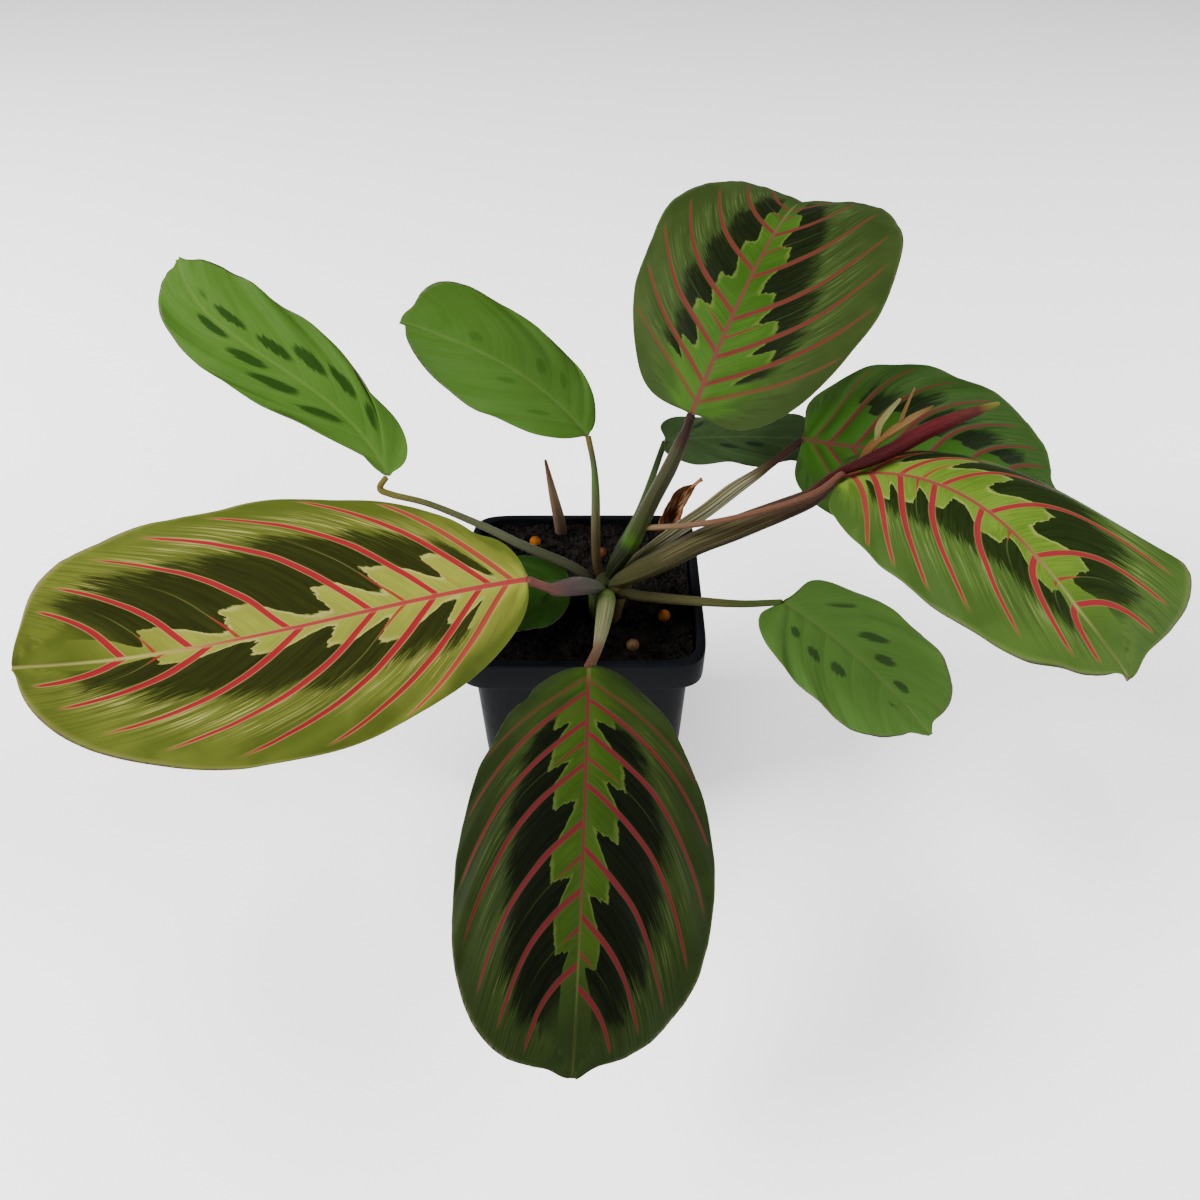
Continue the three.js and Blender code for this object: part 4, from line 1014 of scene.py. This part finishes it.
# soil: heights and widths in mm, crumbs: how many lie loose on it, within crumbReach of the middle
soil = dict(level=61, backRise=1.3, lumps=0.7, lumpSpacing=11, gap=0.3, rings=90, bank=0.5,
            crumbs=900, crumbReach=31.5, smallest=0.35, largest=1.25, seed=4,
            earth=("#181615", "#2e2925"), fleck="#5a4630")


def soilHeight(x, y):
    # the level, a rise to the back and gentle lumps, as the solid under it has
    k = 2 * np.pi / soil["lumpSpacing"]
    lumps = np.sin(k * x + 0.7 * np.sin(k * y)) * np.cos(0.9 * k * y - 0.4)
    return soil["level"] + soil["backRise"] * y / (pot["rim"] / 2) + soil["lumps"] * lumps


# the block follows the pot's inside with a small gap; its top is raised to soilHeight and crumbled
bottom = pot["floor"] + soil["gap"]
inner = [(pot["base"] / 2 - pot["wall"] - soil["gap"], bottom),
         (pot["underLip"] / 2 - pot["wall"] - soil["gap"], shoulder - 0.9),
         (mouth - 0.8, shoulder + 1.4), (mouth - 0.6, soil["level"])]
rings = [((mouth - 0.6) * r, soil["level"]) for r in np.linspace(1, 0, soil["rings"])[1:]]
grid = squareRing([(0, bottom)] + inner + rings, 240)
top = grid[..., 2] > soil["level"] - 0.01
x, y = grid[..., 0], grid[..., 1]
crumble = 0.35 * ripple(1.9 * x, 1.7 * y, 2) + 0.22 * ripple(4.3 * x, 4.9 * y, 5)
crumble = crumble + soil["bank"] * smoothStep(np.maximum(np.abs(x), np.abs(y)), 26, 32)
grid[..., 2] = np.where(top, soilHeight(x, y) + crumble, grid[..., 2])
paint = Paint("pottingSoil", 0.9)
pores = paint.cells(paint.place(), 900.0)
coarse = paint.noise(paint.place(), 260.0, 6.0, 0.7)
fleck = paint.noise(paint.place(), 620.0, 3.0, 0.6).rise(0.66, 0.74)
skin = paint.mix(coarse.rise(0.35, 0.7), *soil["earth"])
skin = skin.mix(fleck * 0.8, soil["fleck"])
height = coarse * 0.7 + pores * 0.5
soilMaterial = paint.wear(Base_Color=skin, Normal=paint.bump(height, 0.0016, 1.0))
makePiece("potting_soil", grid, soilMaterial, "soil")

# crumbs: small uneven octahedra on the surface, turned about z, all in one mesh
rng = np.random.default_rng(soil["seed"])
spot = rng.uniform(-soil["crumbReach"], soil["crumbReach"], (soil["crumbs"], 2))
size = soil["smallest"] + (soil["largest"] - soil["smallest"]) * rng.random(soil["crumbs"]) ** 3
corner = np.array([(1, 0, 0), (-1, 0, 0), (0, 1, 0), (0, -1, 0), (0, 0, 1), (0, 0, -1)], float)
stretch = rng.uniform(0.5, 1.3, (soil["crumbs"], 6, 3)) * size[:, None, None]
turn = rng.uniform(0, 2 * np.pi, soil["crumbs"])[:, None]
shape = corner[None] * stretch + rng.normal(0, 0.15, (soil["crumbs"], 6, 3)) * size[:, None, None]
x, y, z = np.moveaxis(shape, -1, 0)
turned = np.stack([x * np.cos(turn) - y * np.sin(turn), x * np.sin(turn) + y * np.cos(turn),
                   z * 0.8], -1)
ground = soilHeight(spot[:, 0], spot[:, 1]) + 0.25 + 0.25 * size
points = (turned + np.concatenate([spot, ground[:, None]], -1)[:, None]).reshape(-1, 3)
sides = np.array([(0, 2, 4), (2, 1, 4), (1, 3, 4), (3, 0, 4),
                  (2, 0, 5), (1, 2, 5), (3, 1, 5), (0, 3, 5)])
faces = (sides[None] + 6 * np.arange(soil["crumbs"])[:, None, None]).reshape(-1, 3)
finishPiece("soil_crumbs", points, faces, soilMaterial, None)

beads = dict(radius=1.8, dents=0.04, above=0.7, speck="#5a3410",  # above: middle over the soil
             spots=[(23.8, -10.7, "#c8761a"), (-15.1, 24.4, "#c07020"), (14.5, -22.8, "#8b6d4a"),
                    (5.6, 18.4, "#7a4a28"), (-8.5, 10.5, "#6a5a34")])
polar = np.linspace(0, np.pi, 25)[:, None]
turn = 2 * np.pi * np.arange(36)[None] / 36
ball = np.stack(np.broadcast_arrays(np.sin(polar) * np.cos(turn), np.sin(polar) * np.sin(turn),
                                    np.cos(polar)), -1)
for i, (x, y, code) in enumerate(beads["spots"]):
    # a slightly dented ball: r (1 + dents * ripple)
    dents = ripple(3 * ball[..., 0], 3 * ball[..., 2] + np.sin(turn), i)
    radius = beads["radius"] * (1 + beads["dents"] * dents)
    centre = np.array([x, y, soilHeight(x, y) + beads["above"]])
    paint = Paint("fertiliserCoat_%d" % (i + 1), 0.5)
    speck = paint.noise(paint.place(), 700.0, 3.0, 0.6)
    skin = paint.mix(speck.rise(0.4, 0.7) * 0.6, code, beads["speck"])
    material = paint.wear(Base_Color=skin, Normal=paint.bump(speck, 0.0002, 0.6))
    makePiece("fertiliser_%d" % (i + 1), radius[..., None] * ball + centre, material,
              "fertiliser_bead_%d" % (i + 1))
print("soil done")


# floor: half its side in metres; the lights' places and sizes are in mm, their power in watts
studio = dict(
    floor=3, paper=(0.92, 0.92, 0.91, 1), sky=0.45, target=(0, 0, 60),
    lights={"keyLight": dict(place=(-1050, -150, 800), size=700, power=60.0),
            "fillLight": dict(place=(1050, -250, 750), size=900, power=38.0)})
floorMesh = bpy.data.meshes.new("floor")
floorCorners = [(i * studio["floor"], j * studio["floor"], 0)
                for i, j in ((-1, -1), (1, -1), (1, 1), (-1, 1))]
floorMesh.from_pydata(floorCorners, [], [(0, 1, 2, 3)])
floorPiece = addObject("floor", floorMesh)
paint = Paint("floorPaper", 0.9)
floorMesh.materials.append(paint.material)
paint.shader.inputs["Base Color"].default_value = studio["paper"]

world = bpy.data.worlds.new("studio")
world.use_nodes = True
background = world.node_tree.nodes["Background"]
background.inputs["Color"].default_value = (1, 1, 1, 1)
background.inputs["Strength"].default_value = studio["sky"]
bpy.context.scene.world = world


def addLight(name, place, target, size, power):
    # a square soft light aimed from place at target, in mm
    lamp = bpy.data.lights.new(name, "AREA")
    lamp.size = size * metre
    lamp.energy = power
    holder = addObject(name, lamp)
    holder.location = [c * metre for c in place]
    aim = np.asarray(target, float) - np.asarray(place, float)
    yaw = math.atan2(aim[1], aim[0])
    tilt = math.atan2(-aim[2], math.hypot(aim[0], aim[1]))
    holder.rotation_euler = (math.pi / 2 - tilt, 0, yaw - math.pi / 2)


for name, light in studio["lights"].items():
    addLight(name, light["place"], studio["target"], light["size"], light["power"])

# place in mm, degrees down from level, focal length over the picture's width
view = dict(place=(5.25, -246.6, 268.6), down=40.4, focal=1082 / 1200, sensor=36)
camera = bpy.data.cameras.new("camera")
camera.sensor_width = view["sensor"]
camera.lens = view["sensor"] * view["focal"]
camera.clip_start = 0.01
cameraHolder = addObject("camera", camera)
cameraHolder.location = [c * metre for c in view["place"]]
cameraHolder.rotation_euler = (math.radians(90 - view["down"]), 0, 0)
bpy.context.scene.camera = cameraHolder

bpy.context.view_layer.update()
print("scene done")
